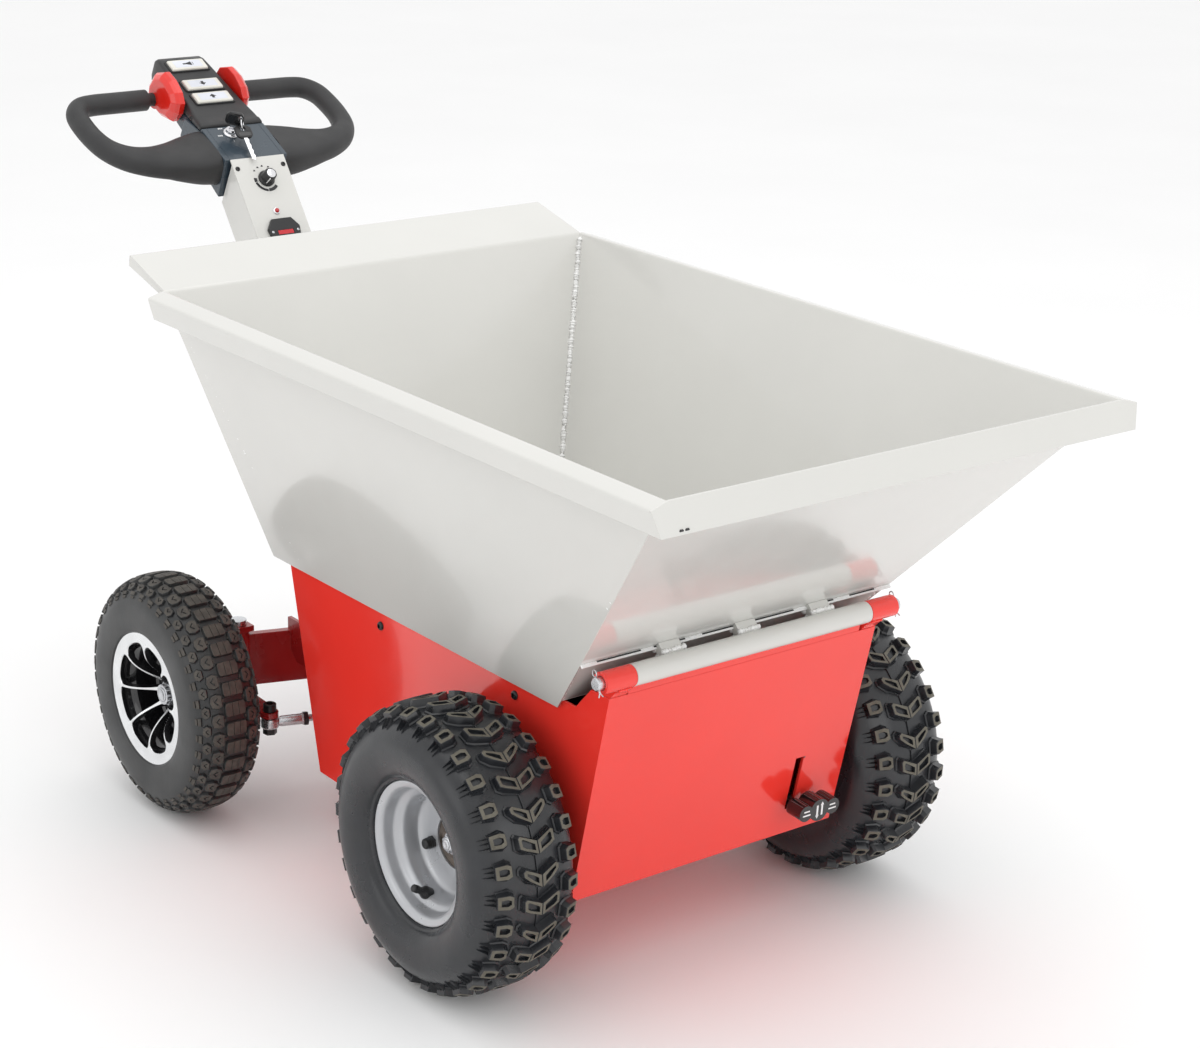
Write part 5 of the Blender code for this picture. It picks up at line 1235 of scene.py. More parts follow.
def build_lever():
    """The release lever, with ribs and marks on its three-lobed knob."""
    pivot = Vector((0.0, LEVER_PIVOT.x, LEVER_PIVOT.y))
    along = (0.0, -math.cos(LEVER_ANGLE), -math.sin(LEVER_ANGLE))
    local = frame_along(pivot, along)
    hub = turned([(LEVER_X - 0.0070, 0.0075), (LEVER_X - 0.0070, 0.0140), (LEVER_X + 0.0070, 0.0140),
                  (LEVER_X + 0.0070, 0.0075)], 40, Matrix.Translation(pivot))
    arm = moved(box((0.0105, LEVER_X - 0.004, -0.006), (0.1530, LEVER_X + 0.004, 0.006)), local)
    knob_frame = frame_along(Vector((0.1430, -0.1385, 0.1705)), (0.0, -1.0, -0.06))
    pitch, small, large, length = 0.0220, 0.0108, 0.0150, 0.0256
    lobes = arc((-pitch, 0.0), small, 40, 320, 20) + arc((0.0, 0.0), large, 208, 332, 12)
    lobes += arc((pitch, 0.0), small, -140, 140, 20) + arc((0.0, 0.0), large, 28, 152, 12)
    knob = moved(prism(lobes, 0.0, length), knob_frame)
    piece("lever_body", joined([hub, arm, knob]), "release_lever", "black_plastic", BLACK_GLOSS,
          replaces=("release_lever",), bevel=0.0010, segments=3, bevel_angle=40.0)
    ribs = []
    for centre, radius in ((-pitch, small), (0.0, large), (pitch, small)):
        for angle in (66, 92, 118):
            turn = math.radians(angle)
            at = Vector((0.0025, centre + radius * math.cos(turn), radius * math.sin(turn)))
            ribs.append(moved(swept([at, at + Vector((length - 0.0045, 0.0, 0.0))], 0.00045, 8), knob_frame))
    # the ribs' lighter grey is painted highlight
    piece("lever_ribs", joined(ribs), "release_lever", "black_plastic", RIB_HIGHLIGHT, angle=60.0)
    marks = []
    for x, tip in ((-0.0038, -1.0), (0.0038, 1.0)):
        shaft = [(x - 0.0014, -0.0072), (x + 0.0014, -0.0072), (x + 0.0014, 0.0072), (x - 0.0014, 0.0072)]
        head = [(x - 0.0027, tip * 0.0062), (x + 0.0027, tip * 0.0062), (x, tip * 0.0108)]
        marks += [prism(shape, length - 0.0004, length + 0.0002) for shape in (shaft, head)]
    for x in (-0.0212, 0.0212):
        for z, half in ((0.0028, 0.0046), (-0.0024, 0.0062)):
            bar = [(x - half, z - 0.0009), (x + half, z - 0.0009), (x + half, z + 0.0009),
                   (x - half, z + 0.0009)]
            marks.append(prism(bar, length - 0.0004, length + 0.0002))
    piece("lever_arrows", moved(joined(marks), knob_frame), "release_lever", "black_plastic", CREAM_INK)


# ---- steering -----------------------------------------------------------------------------


def build_steering():
    """Knuckles, kingpins, tie rods and the nuts of the rear wheels."""
    for side, sign in SIGN.items():
        # The knuckle's darker red is painted shade.
        knuckle = finer(f"knuckle_{side}", 0.0008, "dark_red_paint", SHADED_RED)
        knuckle.data.materials.append(ZINC)
        for polygon in knuckle.data.polygons:
            if abs(polygon.center.x) > 0.2850:
                polygon.material_index = 1
        pin = [(0.1270, 0.0), (0.1270, 0.0120), (0.1327, 0.0120), (0.1327, 0.0075), (0.2418, 0.0075),
               (0.2418, 0.0120), (0.2490, 0.0120), (0.2490, 0.0)]
        up = frame_along(Vector((sign * KINGPIN.x, KINGPIN.y, 0.0)), Z_AXIS)
        piece(f"kingpin_steel_{side}", turned(pin, 32, up), body_of(f"kingpin_{side}"), "zinc", ZINC,
              replaces=(f"kingpin_{side}",), bevel=0.0008)
        build_tie_rod(side)
        nut_at = Matrix.Translation((0.0, KINGPIN.y, REAR_WHEEL.z))
        flange = turned([(0.3290, 0.0), (0.3290, 0.0148), (0.3306, 0.0150), (0.3318, 0.0142), (0.3318, 0.0)],
                        40, nut_at)
        nut = moved(prism(hexagon(0.0144, 0.2), 0.3316, 0.3388), nut_at)
        tip = turned([(0.3386, 0.0), (0.3386, 0.0100), (0.3402, 0.0096), (0.3406, 0.0080), (0.3400, 0.0062),
                      (0.3400, 0.0)],
                     32, nut_at)
        mirror = mirrored(side)
        piece(f"spindle_nut_{side}", moved(joined([flange, nut, tip]), mirror), f"knuckle_{side}", "zinc",
              ZINC,
              bevel=0.0006)


def build_tie_rod(side):
    """A rod with two eyes and jam nuts, and the bolt that holds its outer eye."""
    z = TIE_ROD_Z[side]
    inner = Vector((0.0, STEER_AXIS_Y - STEER_ARM, z))
    outer = Vector((KINGPIN.x, KINGPIN.y - STEER_ARM, z))
    length = (outer - inner).length
    local = frame_along(inner, outer - inner, (0.0, 0.0, 1.0))
    socket = [(0.0085, 0.0), (0.0085, 0.0062), (0.0130, 0.0064), (0.0160, 0.0074), (0.0440, 0.0076),
              (0.0448, 0.0084),
              (0.0462, 0.0084), (0.0462, 0.0)]
    rod = [(0.0460, 0.0), (0.0460, 0.0049), (length - 0.0460, 0.0049), (length - 0.0460, 0.0)]
    flip = Matrix.Translation((length, 0.0, 0.0)) @ Matrix.Diagonal((-1.0, 1.0, 1.0, 1.0))
    rods = [turned(socket, 32, local), turned(socket, 32, local @ flip), turned(rod, 24, local)]
    for at in (inner, outer):
        up = frame_along(Vector((at.x, at.y, 0.0)), Z_AXIS)
        rods.append(turned([(z - 0.0070, 0.0064), (z - 0.0070, 0.0112), (z - 0.0045, 0.0130),
                            (z + 0.0045, 0.0130),
                            (z + 0.0070, 0.0112), (z + 0.0070, 0.0064)], 40, up))
    body = body_of(f"tie_rod_{side}")
    mirror = mirrored(side)
    piece(f"tie_rod_steel_{side}", moved(joined(rods), mirror), body, "zinc", ZINC,
          replaces=(f"tie_rod_{side}",),
          bevel=0.0005)
    nuts = [moved(prism(hexagon(0.0104, 0.2), 0.0466, 0.0526), local),
            moved(prism(hexagon(0.0104, 0.2), 0.0466, 0.0526), local @ flip)]
    piece(f"jam_nuts_{side}", moved(joined(nuts), mirror), body, "black_paint", BLACK_PARTS, bevel=0.0007)
    top, foot = z + 0.0070, z - 0.0070
    up = frame_along(Vector((KINGPIN.x, KINGPIN.y - STEER_ARM, 0.0)), Z_AXIS)
    head = turned([(ARM_HIGH_Z + 0.0003, 0.0), (ARM_HIGH_Z + 0.0003, 0.0090), (ARM_HIGH_Z + 0.0108, 0.0090),
                   (ARM_HIGH_Z + 0.0115, 0.0080), (ARM_HIGH_Z + 0.0115, 0.0048),
                   (ARM_HIGH_Z + 0.0060, 0.0046),
                   (ARM_HIGH_Z + 0.0060, 0.0)], 36, up)
    shank = turned([(foot - 0.0102, 0.0), (foot - 0.0102, 0.0058), (foot - 0.0003, 0.0058),
                    (ARM_HIGH_Z + 0.0010, 0.0058),
                    (ARM_HIGH_Z + 0.0010, 0.0)], 24, up)
    spacer = turned([(top + 0.0003, 0.0), (top + 0.0003, 0.0092), (ARM_LOW_Z - 0.0003, 0.0092),
                     (ARM_LOW_Z - 0.0003, 0.0)], 36, up)
    nut = moved(prism(hexagon(0.0098, 0.4), foot - 0.0090, foot - 0.0003), up)
    piece(f"tie_rod_bolt_black_{side}", moved(joined([head, shank, spacer, nut]), mirror),
          body_of(f"tie_rod_bolt_{side}"), "black_paint", BLACK_PARTS, replaces=(f"tie_rod_bolt_{side}",),
          bevel=0.0006)


# ---- column and head ----------------------------------------------------------------------


def carved(obj, cutters, angle=45.0):
    """The piece with its modifiers applied and the cutters' volumes taken out of it."""
    tools = []
    for number, shape in enumerate(cutters):
        data = bpy.data.meshes.new(f"cutter_{number}")
        moved(shape, TO_FRAME).to_mesh(data)
        shape.free()
        tool = bpy.data.objects.new(f"cutter_{number}", data)
        bpy.context.scene.collection.objects.link(tool)
        cut = obj.modifiers.new(f"cut_{number}", "BOOLEAN")
        cut.operation = "DIFFERENCE"
        cut.object = tool
        tools.append(tool)
    graph = bpy.context.evaluated_depsgraph_get()
    done = bpy.data.meshes.new_from_object(obj.evaluated_get(graph))
    obj.modifiers.clear()
    obj.data = done
    done.shade_smooth()
    done.set_sharp_from_angle(angle=math.radians(angle))
    for tool in tools:
        bpy.data.objects.remove(tool)
    return obj


def round_box(half, low, high, radius, steps=4, middle=0.0):
    """A rectangle with round corners, from -half to half and from low to high."""
    corners = ((half - radius, high - radius, 0), (radius - half, high - radius, 90),
               (radius - half, low + radius, 180), (half - radius, low + radius, 270))
    points = []
    for x, y, start in corners:
        points += arc((x + middle, y), radius, start, start + 90, steps)
    return points


def lofted(rings):
    """A closed skin over rings of 3-D points that run the same way."""
    bm = bmesh.new()
    skin(bm, [[bm.verts.new(p) for p in ring] for ring in rings])
    bmesh.ops.recalc_face_normals(bm, faces=bm.faces)
    return bm


def raised_ring(outer, inner, low, high):
    """A rim that stands round a pocket, in the plane of the head."""
    levels = ((outer, low), (spread(outer, -0.0006), high), (spread(inner, 0.0004), high),
              (inner, low - 0.0010))
    rings = [[(p[0], p[1], d) for p in outline] for outline, d in levels]
    bm = bmesh.new()
    skin(bm, [[bm.verts.new(p) for p in ring] for ring in rings], wrapped=True)
    bmesh.ops.recalc_face_normals(bm, faces=bm.faces)
    return bm


def build_control_head(local):
    """The moulded shell, with a pocket and a rim for each button."""
    stations = [(0.0764, 0.0500, -0.0068, 0.0006), (0.0774, 0.0511, -0.0064, 0.0024),
                (0.0800, 0.0512, -0.0068, 0.0034), (0.0860, 0.0512, -0.0080, 0.0035),
                (0.0880, 0.0503, -0.0084, 0.0026), (0.1000, 0.0498, -0.0107, 0.0022),
                (0.1220, 0.0468, -0.0149, 0.0022), (0.1350, 0.0452, -0.0172, 0.0022),
                (0.1494, 0.0443, -0.0199, 0.0022), (0.1500, 0.0442, -0.0438, 0.0022),
                (0.1800, 0.0423, -0.0446, 0.0022), (0.2200, 0.0395, -0.0448, 0.0022),
                (0.2380, 0.0381, -0.0448, 0.0020), (0.2470, 0.0371, -0.0398, -0.0006),
                (0.2520, 0.0358, -0.0350, -0.0056), (0.2548, 0.0335, -0.0318, -0.0140),
                (0.2556, 0.0300, -0.0300, -0.0220)]
    rings = []
    for s, half, low, high in stations:
        radius = min(0.0042, 0.42 * (high - low))
        rings.append([(x, s, d) for x, d in round_box(half, low, high, radius, 5)])
    head = piece("control_head_shell", moved(lofted(rings), local), "tiller", "black_plastic", PLASTIC,
                 replaces=("control_head",))
    cutters = []
    rims = []
    for s in BUTTONS.values():
        pocket = round_box(0.0301, s - 0.0119, s + 0.0119, 0.0020)
        cutters.append(moved(prism(pocket, -0.0050, 0.0200, "Z"), local))
        outer = round_box(0.0332, s - 0.0142, s + 0.0142, 0.0038)
        rims.append(raised_ring(outer, pocket, 0.0016, 0.0040))
    carved(head, cutters)
    piece("button_rims", moved(joined(rims), local), "tiller", "black_plastic", PLASTIC, angle=50.0)
    screws = []
    for sign in (1.0, -1.0):
        for s, d in ((0.1100, -0.0060), (0.1620, -0.0350), (0.2300, -0.0150)):
            half = {0.1100: 0.0490, 0.1620: 0.0438, 0.2300: 0.0388}[s]
            place = local @ frame_along(Vector((sign * (half - 0.0004), s, d)), (sign, 0.0, 0.0),
                                        (0.0, 1.0, 0.0))
            screws.append(screw_head(place, 0.0034, 0.0012, 0.0015))
    piece("head_screws", joined(screws), "tiller", "black_plastic", BLACK_PARTS, angle=40.0)


def arrow_mark(s, tip, size=1.0):
    stem = [(-0.0016 * size, s - 0.0042 * tip), (0.0016 * size, s - 0.0042 * tip), (0.0016 * size, s),
            (-0.0016 * size, s)]
    head = [(-0.0044 * size, s - 0.0004 * tip), (0.0044 * size, s - 0.0004 * tip), (0.0, s + 0.0048 * tip)]
    return [stem, head]


def build_buttons(local):
    """Three rocker keys, each with a film and a plain symbol."""
    horn = BUTTONS["horn_button"]
    bell = [(-0.0080, horn - 0.0014), (-0.0030, horn - 0.0014), (0.0060, horn - 0.0046),
            (0.0060, horn + 0.0046),
            (-0.0030, horn + 0.0014), (-0.0080, horn + 0.0014)]
    waves = [[(0.0080, horn - 0.0032), (0.0088, horn - 0.0032), (0.0088, horn + 0.0032),
              (0.0080, horn + 0.0032)]]
    symbols = {"up_button": arrow_mark(BUTTONS["up_button"], 1.0, 1.3),
               "down_button": arrow_mark(BUTTONS["down_button"], -1.0, 1.3),
               "horn_button": [bell] + waves}
    for name, s in BUTTONS.items():
        rings = []
        for d, inset, radius in ((-0.0015, 0.0, 0.0016), (0.0046, 0.0, 0.0016), (0.0060, 0.0005, 0.0020),
                                 (0.0066, 0.0014, 0.0022), (0.0067, 0.0028, 0.0022)):
            rings.append([(x, y, d) for x,
                          y in round_box(0.0295 - inset, s - 0.0114 + inset, s + 0.0114 - inset, radius)])
        piece(f"{name}_key", moved(lofted(rings), local), name, "white_plastic", WHITE, replaces=(name,),
              angle=40.0)
        film = prism(round_box(0.0225, s - 0.0078, s + 0.0078, 0.0008), 0.0064, 0.00685, "Z")
        piece(f"{name}_label", moved(film, local), name, "white_plastic", LABEL)
        marks = [moved(prism(shape, 0.0066, 0.0070, "Z"), local) for shape in symbols[name]]
        piece(f"{name}_symbol", joined(marks), name, "white_plastic", INK_AND_SHADE)


def build_throttle(head):
    """Red paddles with a flat face and broad slanting facets."""
    outline = [(0.2130, -0.0400), (0.2180, -0.0200), (0.2100, 0.0040), (0.1900, 0.0190), (0.1680, 0.0200),
               (0.1450, 0.0140), (0.1320, 0.0030), (0.1310, -0.0140), (0.1400, -0.0340), (0.1650, -0.0440),
               (0.1950, -0.0460)]
    middle = Vector((0.1745, -0.0140))
    for side in ("left", "right"):
        rings = []
        for x, share in ((0.0477, 0.955), (0.0487, 0.990), (0.0560, 0.990), (0.0610, 0.900), (0.0650, 0.760),
                         (0.0660, 0.700)):
            ring = [middle + (Vector(p) - middle) * share for p in outline]
            rings.append([(x, p.x, p.y) for p in ring])
        boss = turned([(0.0640, 0.0), (0.0640, 0.0145), (0.0662, 0.0135), (0.0662, 0.0)], 40,
                      Matrix.Translation((0.0, THROTTLE_S, THROTTLE_D)))
        shape = moved(joined([lofted(rings), boss]), mirrored(side) @ head)
        piece(f"throttle_paddle_{side}", shape, "throttle", "red_plastic", RED_GLOSS,
              replaces=(f"throttle_{side}",), bevel=0.0014, segments=3, bevel_angle=12.0)


def root_drop(x, s):
    """How much deeper the handle is below, near the housing and in front of the grips."""
    share = (x - HANDLE_ROOT_X) / HANDLE_ROOT_REACH
    return HANDLE_ROOT_DROP * max(0.0, 1.0 - share) if s < 0.0 else 0.0


def build_handle(handle, head):
    """The closed foam handle: broad flat roots, round bends and round grips."""
    stations = [(0.0518, -0.0400, 0.086, 0.040), (0.0800, -0.0450, 0.080, 0.040),
                (0.1150, -0.0470, 0.064, 0.038),
                (0.1480, -0.0430, 0.050, 0.035), (0.1760, -0.0300, 0.040, 0.033),
                (0.1950, -0.0070, 0.034, 0.031),
                (0.2030, 0.0230, 0.031, 0.031), (0.2040, 0.0580, 0.031, 0.031),
                (0.2000, 0.0840, 0.031, 0.031),
                (0.1860, 0.1010, 0.031, 0.031), (0.1640, 0.1060, 0.031, 0.031),
                (0.1300, 0.1066, 0.031, 0.031),
                (0.0790, 0.1070, 0.031, 0.031)]
    path = smooth_line(stations, 6)
    sides = 40
    for side in ("left", "right"):
        rings = []
        for index, (x, s, width, thick) in enumerate(path):
            before, after = path[max(index - 1, 0)], path[min(index + 1, len(path) - 1)]
            along = Vector((after[0] - before[0], after[1] - before[1])).normalized()
            if index == 0:
                along = Vector((1.0, 0.0))
            across = Vector((-along.y, along.x))
            squareness = 2.0 + 1.3 * min(1.0, max(0.0, (width - 0.031) / 0.045))
            ring = []
            for k in range(sides):
                turn = math.tau * k / sides
                c, d = math.cos(turn), math.sin(turn)
                reach = (abs(c) ** squareness + abs(d) ** squareness) ** (-1.0 / squareness)
                shift = across * (0.498 * width * c * reach)
                lift = (0.498 * thick + (root_drop(x, s) if d < 0.0 else 0.0)) * d * reach
                ring.append((x + shift.x, s + shift.y, lift))
            rings.append(ring)
        last, before = rings[-1], rings[-2]
        centre = Vector((path[-1][0], path[-1][1], 0.0))
        rings.append([centre + (Vector(p) - centre) * 0.90 + Vector((-0.0012, 0.0, 0.0)) for p in last])
        shape = moved(lofted(rings), mirrored(side) @ handle)
        neck = turned([(0.0664, 0.0), (0.0664, 0.0098), (0.0900, 0.0098), (0.0900, 0.0)], 40,
                      Matrix.Translation((0.0, THROTTLE_S, THROTTLE_D)))
        neck = moved(neck, mirrored(side) @ head)
        piece(f"handle_grip_{side}", joined([shape, neck]), "tiller", "grip_rubber", FOAM,
              replaces=(f"handle_loop_{side}",), angle=50.0)


def build_column_fittings(local):
    """Cover screws, speed knob and its scale, lamp and battery gauge."""
    screws = []
    for x in (-0.0375, 0.0375):
        for s in (-0.0140, -0.2300):
            at = local @ frame_along(Vector((x, s, 0.0)), Z_AXIS, X_AXIS)
            screws.append(screw_head(at, 0.0036, 0.0016, 0.0018))
    piece("cover_screws", joined(screws), "tiller", "black_plastic", BLACK_PARTS, angle=40.0)

    def flutes(turn, along):
        return 1.0 - 0.055 * (0.5 + 0.5 * math.cos(8 * turn)) if 0.0042 < along < 0.0178 else 1.0

    up = local @ frame_along(Vector((KNOB_AT.x, KNOB_AT.y, 0.0)), Z_AXIS, X_AXIS)
    skirt = [(0.0004, 0.0), (0.0004, 0.0123), (0.0022, 0.0125), (0.0034, 0.0118), (0.0046, 0.0104),
             (0.0060, 0.0101),
             (0.0160, 0.0094), (0.0176, 0.0088), (0.0182, 0.0078), (0.0182, 0.0)]
    piece("knob_body", turned(skirt, 96, up, flutes), "speed_knob", "black_plastic", BLACK_PARTS,
          replaces=("speed_knob",), angle=40.0)
    cap = [(0.0180, 0.0), (0.0180, 0.0068), (0.0187, 0.0066), (0.0190, 0.0058), (0.0190, 0.0)]
    piece("knob_cap", turned(cap, 48, up), "speed_knob", "chrome", CHROME, angle=40.0)
    pointer = moved(box((0.0020, -0.0005, 0.0085), (0.0178, 0.0005, 0.0103)),
                    up @ Matrix.Rotation(math.radians(150), 4, "X"))
    piece("knob_pointer", pointer, "speed_knob", "white_plastic", CREAM_INK)
    scale = []
    for start, stop, inner, outer in ((170, 190, 0.0148, 0.0196), (193, 262, 0.0160, 0.0196),
                                      (265, 318, 0.0150, 0.0196)):
        ring = arc(tuple(KNOB_AT), outer, start, stop,
                   14) + list(reversed(arc(tuple(KNOB_AT), inner, start, stop, 14)))
        scale.append(prism(ring, 0.0, 0.00035, "Z"))
    for angle in (112, 135, 90, 62):
        turn = math.radians(angle)
        middle = KNOB_AT + Vector((math.cos(turn), math.sin(turn))) * 0.0205
        half = 0.0020
        scale.append(prism([(middle.x - half, middle.y - 0.0009), (middle.x + half, middle.y - 0.0009),
                            (middle.x + 0.3 * half, middle.y + 0.0013),
                            (middle.x - 0.3 * half, middle.y + 0.0013)], 0.0,
                           0.00035, "Z"))
    piece("knob_scale", moved(joined(scale), local), "tiller", "black_plastic", INK_AND_SHADE)

    at = local @ frame_along(Vector((0.0, -0.0850, 0.0)), Z_AXIS, X_AXIS)
    bezel = [(0.0003, 0.0036), (0.0003, 0.0055), (0.0013, 0.0053), (0.0021, 0.0046), (0.0021, 0.0036)]
    piece("lamp_bezel", turned(bezel, 40, at), "tiller", "chrome", CHROME, angle=50.0)
    lens = [(0.0003, 0.0), (0.0003, 0.0035), (0.0030, 0.0034), (0.0044, 0.0028), (0.0052, 0.0015),
            (0.0054, 0.0)]
    piece("lamp_lens", turned(lens, 32, at), "tiller", "red_lens", LENS, replaces=("indicator_lamp",),
          angle=60.0)

    gauge = [(-0.0160, -0.0985), (-0.0258, -0.1125), (-0.0225, -0.1330), (0.0225, -0.1330), (0.0258, -0.1125),
             (0.0160, -0.0985)]
    plate = moved(prism(gauge, 0.0003, 0.0060, "Z"), local)
    piece("gauge_frame", plate, "tiller", "black_plastic", BLACK_PARTS, replaces=("battery_gauge",),
          bevel=0.0012,
          segments=3)
    window = moved(prism(round_box(0.0125, -0.1238, -0.1172, 0.0006), 0.0050, 0.0063, "Z"), local)
    piece("gauge_window", window, "tiller", "red_lens", GAUGE_LENS, bevel=0.0003)
    edge = round_box(0.0138, -0.1251, -0.1159, 0.0010)
    ring = raised_ring(edge, round_box(0.0125, -0.1238, -0.1172, 0.0006), 0.0058, 0.0066)
    piece("gauge_window_rim", moved(ring, local), "tiller", "black_plastic", BLACK_PARTS, angle=50.0)
    screws = []
    for x in (-0.0205, 0.0205):
        spot = local @ frame_along(Vector((x, -0.1190, 0.0060)), Z_AXIS, X_AXIS)
        screws.append(screw_head(spot, 0.0020, 0.0008, 0.0009))
    piece("gauge_screws", joined(screws), "tiller", "zinc", ZINC, angle=40.0)


def key_blade(matrix, length, half_width, half_thick):
    """A flat key blade with notches along one edge."""
    outline = [(0.0, -half_width), (0.0, half_width)]
    steps = 9
    for k in range(steps):
        x = -length * (k + 0.5) / steps
        outline.append((x, half_width * (0.95 if k % 2 else 0.55)))
    outline += [(-length + 0.001, half_width * 0.6), (-length, 0.0), (-length + 0.002, -half_width)]
    return moved(prism(list(reversed(outline)), -half_thick, half_thick, "Z"), matrix)


def bow_outline(half, length):
    corner = 0.0045
    return [(0.0, -half + corner), (corner, -half), (length - corner, -half), (length, -half + corner),
            (length, half - corner), (length - corner, half), (corner, half), (0.0, half - corner)]


def bored_bow(half, length, half_thick, hole, radius, matrix):
    """A moulded key head with a round hole and a softened outer edge."""
    outer = bow_outline(half, length)
    count = 32
    ring, around = [], []
    for k in range(count):
        turn = math.tau * k / count
        ray = Vector((math.cos(turn), math.sin(turn)))
        ring.append(Vector(hole) + ray * radius)
        around.append(cast_to_outline(Vector(hole), ray, outer))
    points, faces = [], []
    stack = [(ring, half_thick), ([a.lerp(r, 0.12) for a, r in zip(around, ring)], half_thick),
             (around, half_thick - 0.0009), (around, 0.0009 - half_thick),
             ([a.lerp(r, 0.12) for a, r in zip(around, ring)], -half_thick), (ring, -half_thick)]
    for outline, height in stack:
        points += [(p.x, p.y, height) for p in outline]
    for level in range(len(stack)):
        for k in range(count):
            near, far = level * count, (level + 1) % len(stack) * count
            faces.append((near + k, near + (k + 1) % count, far + (k + 1) % count, far + k))
    return moved(closed_mesh(points, faces), matrix)


def cast_to_outline(start, ray, outline):
    best = None
    for a, b in zip(outline, outline[1:] + outline[:1]):
        a, b = Vector(a), Vector(b)
        edge = b - a
        cross = ray.x * edge.y - ray.y * edge.x
        if abs(cross) < 1e-12:
            continue
        gap = a - start
        along = (gap.x * edge.y - gap.y * edge.x) / cross
        share = (gap.x * ray.y - gap.y * ray.x) / cross
        if along > 0 and -1e-6 <= share <= 1 + 1e-6 and (best is None or along < best):
            best = along
    return start + ray * best


def build_keys(local):
    """The lock with its key, and the spare that hangs from the ring."""
    x, s = KEY_AT
    twist, drop, turn = math.radians(-30), math.radians(65), math.radians(-70)
    ring_radius = 0.0105
    up = Vector((0.0, 0.0, 1.0))
    width = Vector((math.cos(twist), math.sin(twist), 0.0))
    foot = Vector((x, s, 0.0))
    at = local @ frame_along(foot, up)
    lock = [(0.0003, 0.0), (0.0003, 0.0113), (0.0012, 0.0115), (0.0026, 0.0110), (0.0034, 0.0100),
            (0.0035, 0.0086),
            (0.0072, 0.0083), (0.0080, 0.0074), (0.0080, 0.0046), (0.0062, 0.0042), (0.0062, 0.0)]

    def knurl(angle, along):
        return 1.0 + 0.018 * math.cos(30 * angle) if along < 0.0030 else 1.0

    piece("lock_barrel", turned(lock, 120, at, knurl), "tiller", "chrome", CHROME, replaces=("key_switch",),
          angle=40.0)
    marks = []
    for angle, radius in ((188, 0.0185), (128, 0.0170)):
        spot = Vector((x, s)) + Vector((math.cos(math.radians(angle)),
                                        math.sin(math.radians(angle)))) * radius
        for shift in (-0.0027, 0.0, 0.0027):
            low, high = spot.x + shift - 0.0009, spot.x + shift + 0.0009
            marks.append(prism([(low, spot.y - 0.0013), (high, spot.y - 0.0013), (high, spot.y + 0.0013),
                                (low, spot.y + 0.0013)], 0.0, 0.0003, "Z"))
    tick = [(x - 0.0035, s - 0.0190), (x - 0.0030, s - 0.0150), (x - 0.0026, s - 0.0150),
            (x - 0.0031, s - 0.0190)]
    marks.append(prism(tick, 0.0, 0.0003, "Z"))
    piece("lock_marks", moved(joined(marks), local), "tiller", "slate_paint", CREAM_INK)

    key = local @ frame_along(foot + up * 0.0160, up, width)
    hook = foot + width * 0.0080 + up * 0.0300
    piece("key_head", bored_bow(0.0129, 0.0214, 0.0028, (0.0140, 0.0080), 0.0040, key), "ignition_key",
          "black_plastic", BLACK_PARTS, replaces=("ignition_key",), angle=40.0)
    panel = [(0.0030, -0.0095), (0.0180, -0.0095), (0.0180, 0.0020), (0.0080, 0.0020), (0.0080, 0.0090),
             (0.0030, 0.0090)]
    panels = [moved(prism(panel, low, low + 0.0005, "Z"), key) for low in (-0.0031, 0.0026)]
    piece("key_head_panel", joined(panels), "ignition_key", "black_plastic", BLACK_GLOSS, bevel=0.0002)
    piece("key_blade", moved(box((-0.0077, -0.0040, -0.0011), (0.0003, 0.0040, 0.0011)), key), "ignition_key",
          "chrome", CHROME, bevel=0.0003)

    outward = width * math.cos(drop) - up * math.sin(drop)
    across = up.cross(width)
    middle = hook + outward * ring_radius
    ring = local @ frame_along(middle, across.cross(outward), across)
    loop = [(0.0006 * math.sin(math.tau * k / 48), ring_radius * math.cos(math.tau * k / 48),
             ring_radius * math.sin(math.tau * k / 48)) for k in range(48)]
    piece("ring_wire", moved(swept(loop, 0.0010, 12, closed=True), ring), body_of("key_ring"), "chrome",
          CHROME,
          replaces=("key_ring",), angle=60.0)

    hole = middle + (outward * math.cos(turn) + across * math.sin(turn)) * ring_radius
    back = Vector((0.08, 0.965, 0.250))
    spare = local @ frame_along(hole - back.normalized() * 0.0150, back, (1.0, -0.083, 0.0))
    piece("spare_head", bored_bow(0.0129, 0.0219, 0.0022, (0.0150, 0.0), 0.0045, spare), "spare_key",
          "black_plastic", BLACK_PARTS, replaces=("spare_key",), angle=40.0)
    panel = [(0.0025, -0.0095), (0.0092, -0.0095), (0.0092, 0.0095), (0.0025, 0.0095)]
    panels = [moved(prism(panel, low, low + 0.0005, "Z"), spare) for low in (-0.0025, 0.0020)]
    piece("spare_head_panel", joined(panels), "spare_key", "black_plastic", BLACK_GLOSS, bevel=0.0002)
    piece("spare_blade", key_blade(spare @ Matrix.Translation((0.0030, 0.0, 0.0)), 0.0430, 0.0036, 0.0010),
          "spare_key",
          "chrome", CHROME, bevel=0.0002)


def build_housing_details(local):
    screws = []
    for sign in (1.0, -1.0):
        for s, d in ((0.0100, -0.0130), (0.0100, -0.0420), (0.0680, -0.0130)):
            place = local @ frame_along(Vector((sign * 0.0514, s, d)), (sign, 0.0, 0.0), (0.0, 1.0, 0.0))
            screws.append(screw_head(place, 0.0032, 0.0010, 0.0015))
    piece("housing_screws", joined(screws), "tiller", "black_plastic", BLACK_PARTS, angle=40.0)
    lines = []
    for sign in (1.0, -1.0):
        x = sign * 0.0430
        lines.append(prism([(x - 0.0005, 0.0010), (x + 0.0005, 0.0010), (x + 0.0005, 0.0755),
                            (x - 0.0005, 0.0755)],
                           -0.0002, 0.0003, "Z"))
    piece("housing_folds", moved(joined(lines), local), "tiller", "slate_paint", SLATE)


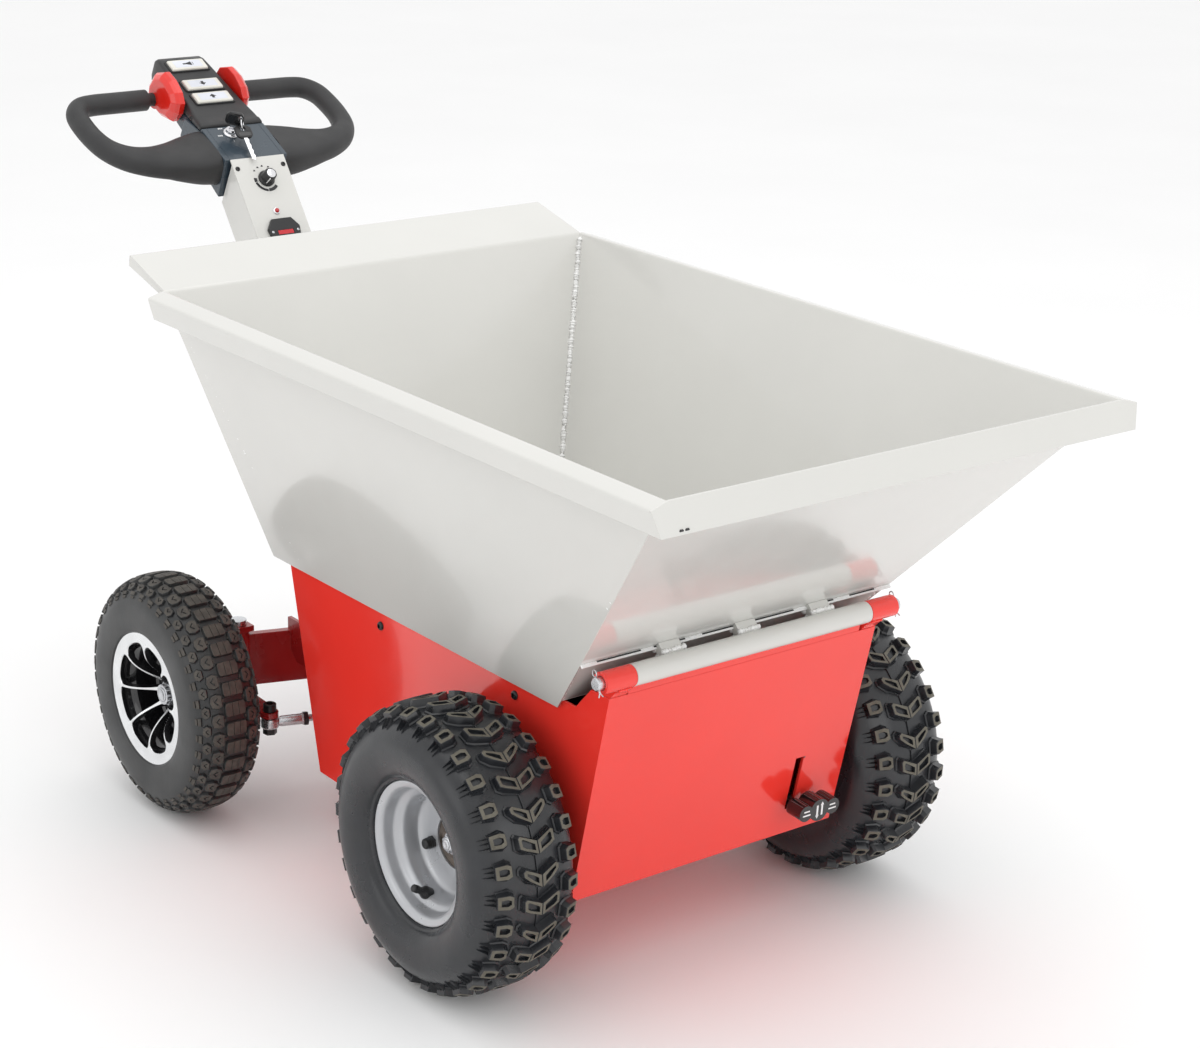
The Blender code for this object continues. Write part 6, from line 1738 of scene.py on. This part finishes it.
def build_head():
    column = sloped_frame(COLUMN_SLOPE, COLUMN_TOP)
    head = sloped_frame(HEAD_SLOPE, HEAD_ORIGIN)
    build_control_head(head)
    build_buttons(head)
    build_throttle(head)
    build_handle(sloped_frame(HANDLE_SLOPE, HANDLE_ORIGIN), head)
    build_column_fittings(column)
    build_housing_details(head)
    build_keys(head)


# ---- the picture --------------------------------------------------------------------------


def area_light(name, place, aim, size, power, tall=None):
    data = bpy.data.lights.new(name, "AREA")
    data.shape = "RECTANGLE"
    data.size = size
    data.size_y = tall or size
    data.energy = power
    lamp = bpy.data.objects.new(name, data)
    lamp.location = place
    lamp.rotation_euler = (Vector(aim) - Vector(place)).to_track_quat("-Z", "Y").to_euler()
    bpy.context.scene.collection.objects.link(lamp)


def build_stage():
    """A white floor and even daylight, with three soft lamps."""
    reach = 14.0
    floor = bpy.data.meshes.new("floor")
    floor.from_pydata([(-reach, -reach, 0.0), (reach, -reach, 0.0), (reach, reach, 0.0),
                       (-reach, reach, 0.0)], [],
                      [(0, 1, 2, 3)])
    look = Look("floor_paper", (0.93, 0.93, 0.93), 0.85)
    look.shade(0.01, 1.5)
    look.bump(look.noise(400.0, 2.0), 0.0001, 0.1)
    floor.materials.append(look.done())
    ground = bpy.data.objects.new("floor", floor)
    bpy.context.scene.collection.objects.link(ground)
    bpy.context.scene.view_settings.view_transform = "Standard"
    world = bpy.data.worlds.new("studio")
    bpy.context.scene.world = world
    world.use_nodes = True
    background = world.node_tree.nodes["Background"]
    background.inputs["Color"].default_value = (1.0, 1.0, 1.0, 1.0)
    background.inputs["Strength"].default_value = 1.0
    area_light("overhead", (0.0, -0.3, 3.6), (0.0, 0.0, 0.3), 3.2, 30.0)
    area_light("front", (0.6, -4.2, 1.9), (0.0, 0.0, 0.4), 2.6, 16.0, 1.8)
    area_light("side", (-4.2, 0.2, 1.7), (0.0, 0.0, 0.4), 2.4, 10.0, 1.8)


def build_camera():
    data = bpy.data.cameras.new("camera")
    data.lens = 79.2
    data.sensor_width = 36.0
    camera = bpy.data.objects.new("camera", data)
    right = Vector((0.78906, -0.61371, 0.02731))
    up = Vector((0.17725, 0.27001, 0.94640))
    forward = Vector((0.58819, 0.74193, -0.32184))
    matrix = Matrix((right, up, -forward)).transposed().to_4x4()
    matrix.translation = (-1.9306, -2.6941, 1.5481)
    camera.matrix_world = matrix
    bpy.context.scene.collection.objects.link(camera)
    bpy.context.scene.camera = camera


build_wheels()
build_chassis()
build_hinge()
build_hopper()
build_running_gear()
build_lever()
build_steering()
build_head()
build_stage()
build_camera()
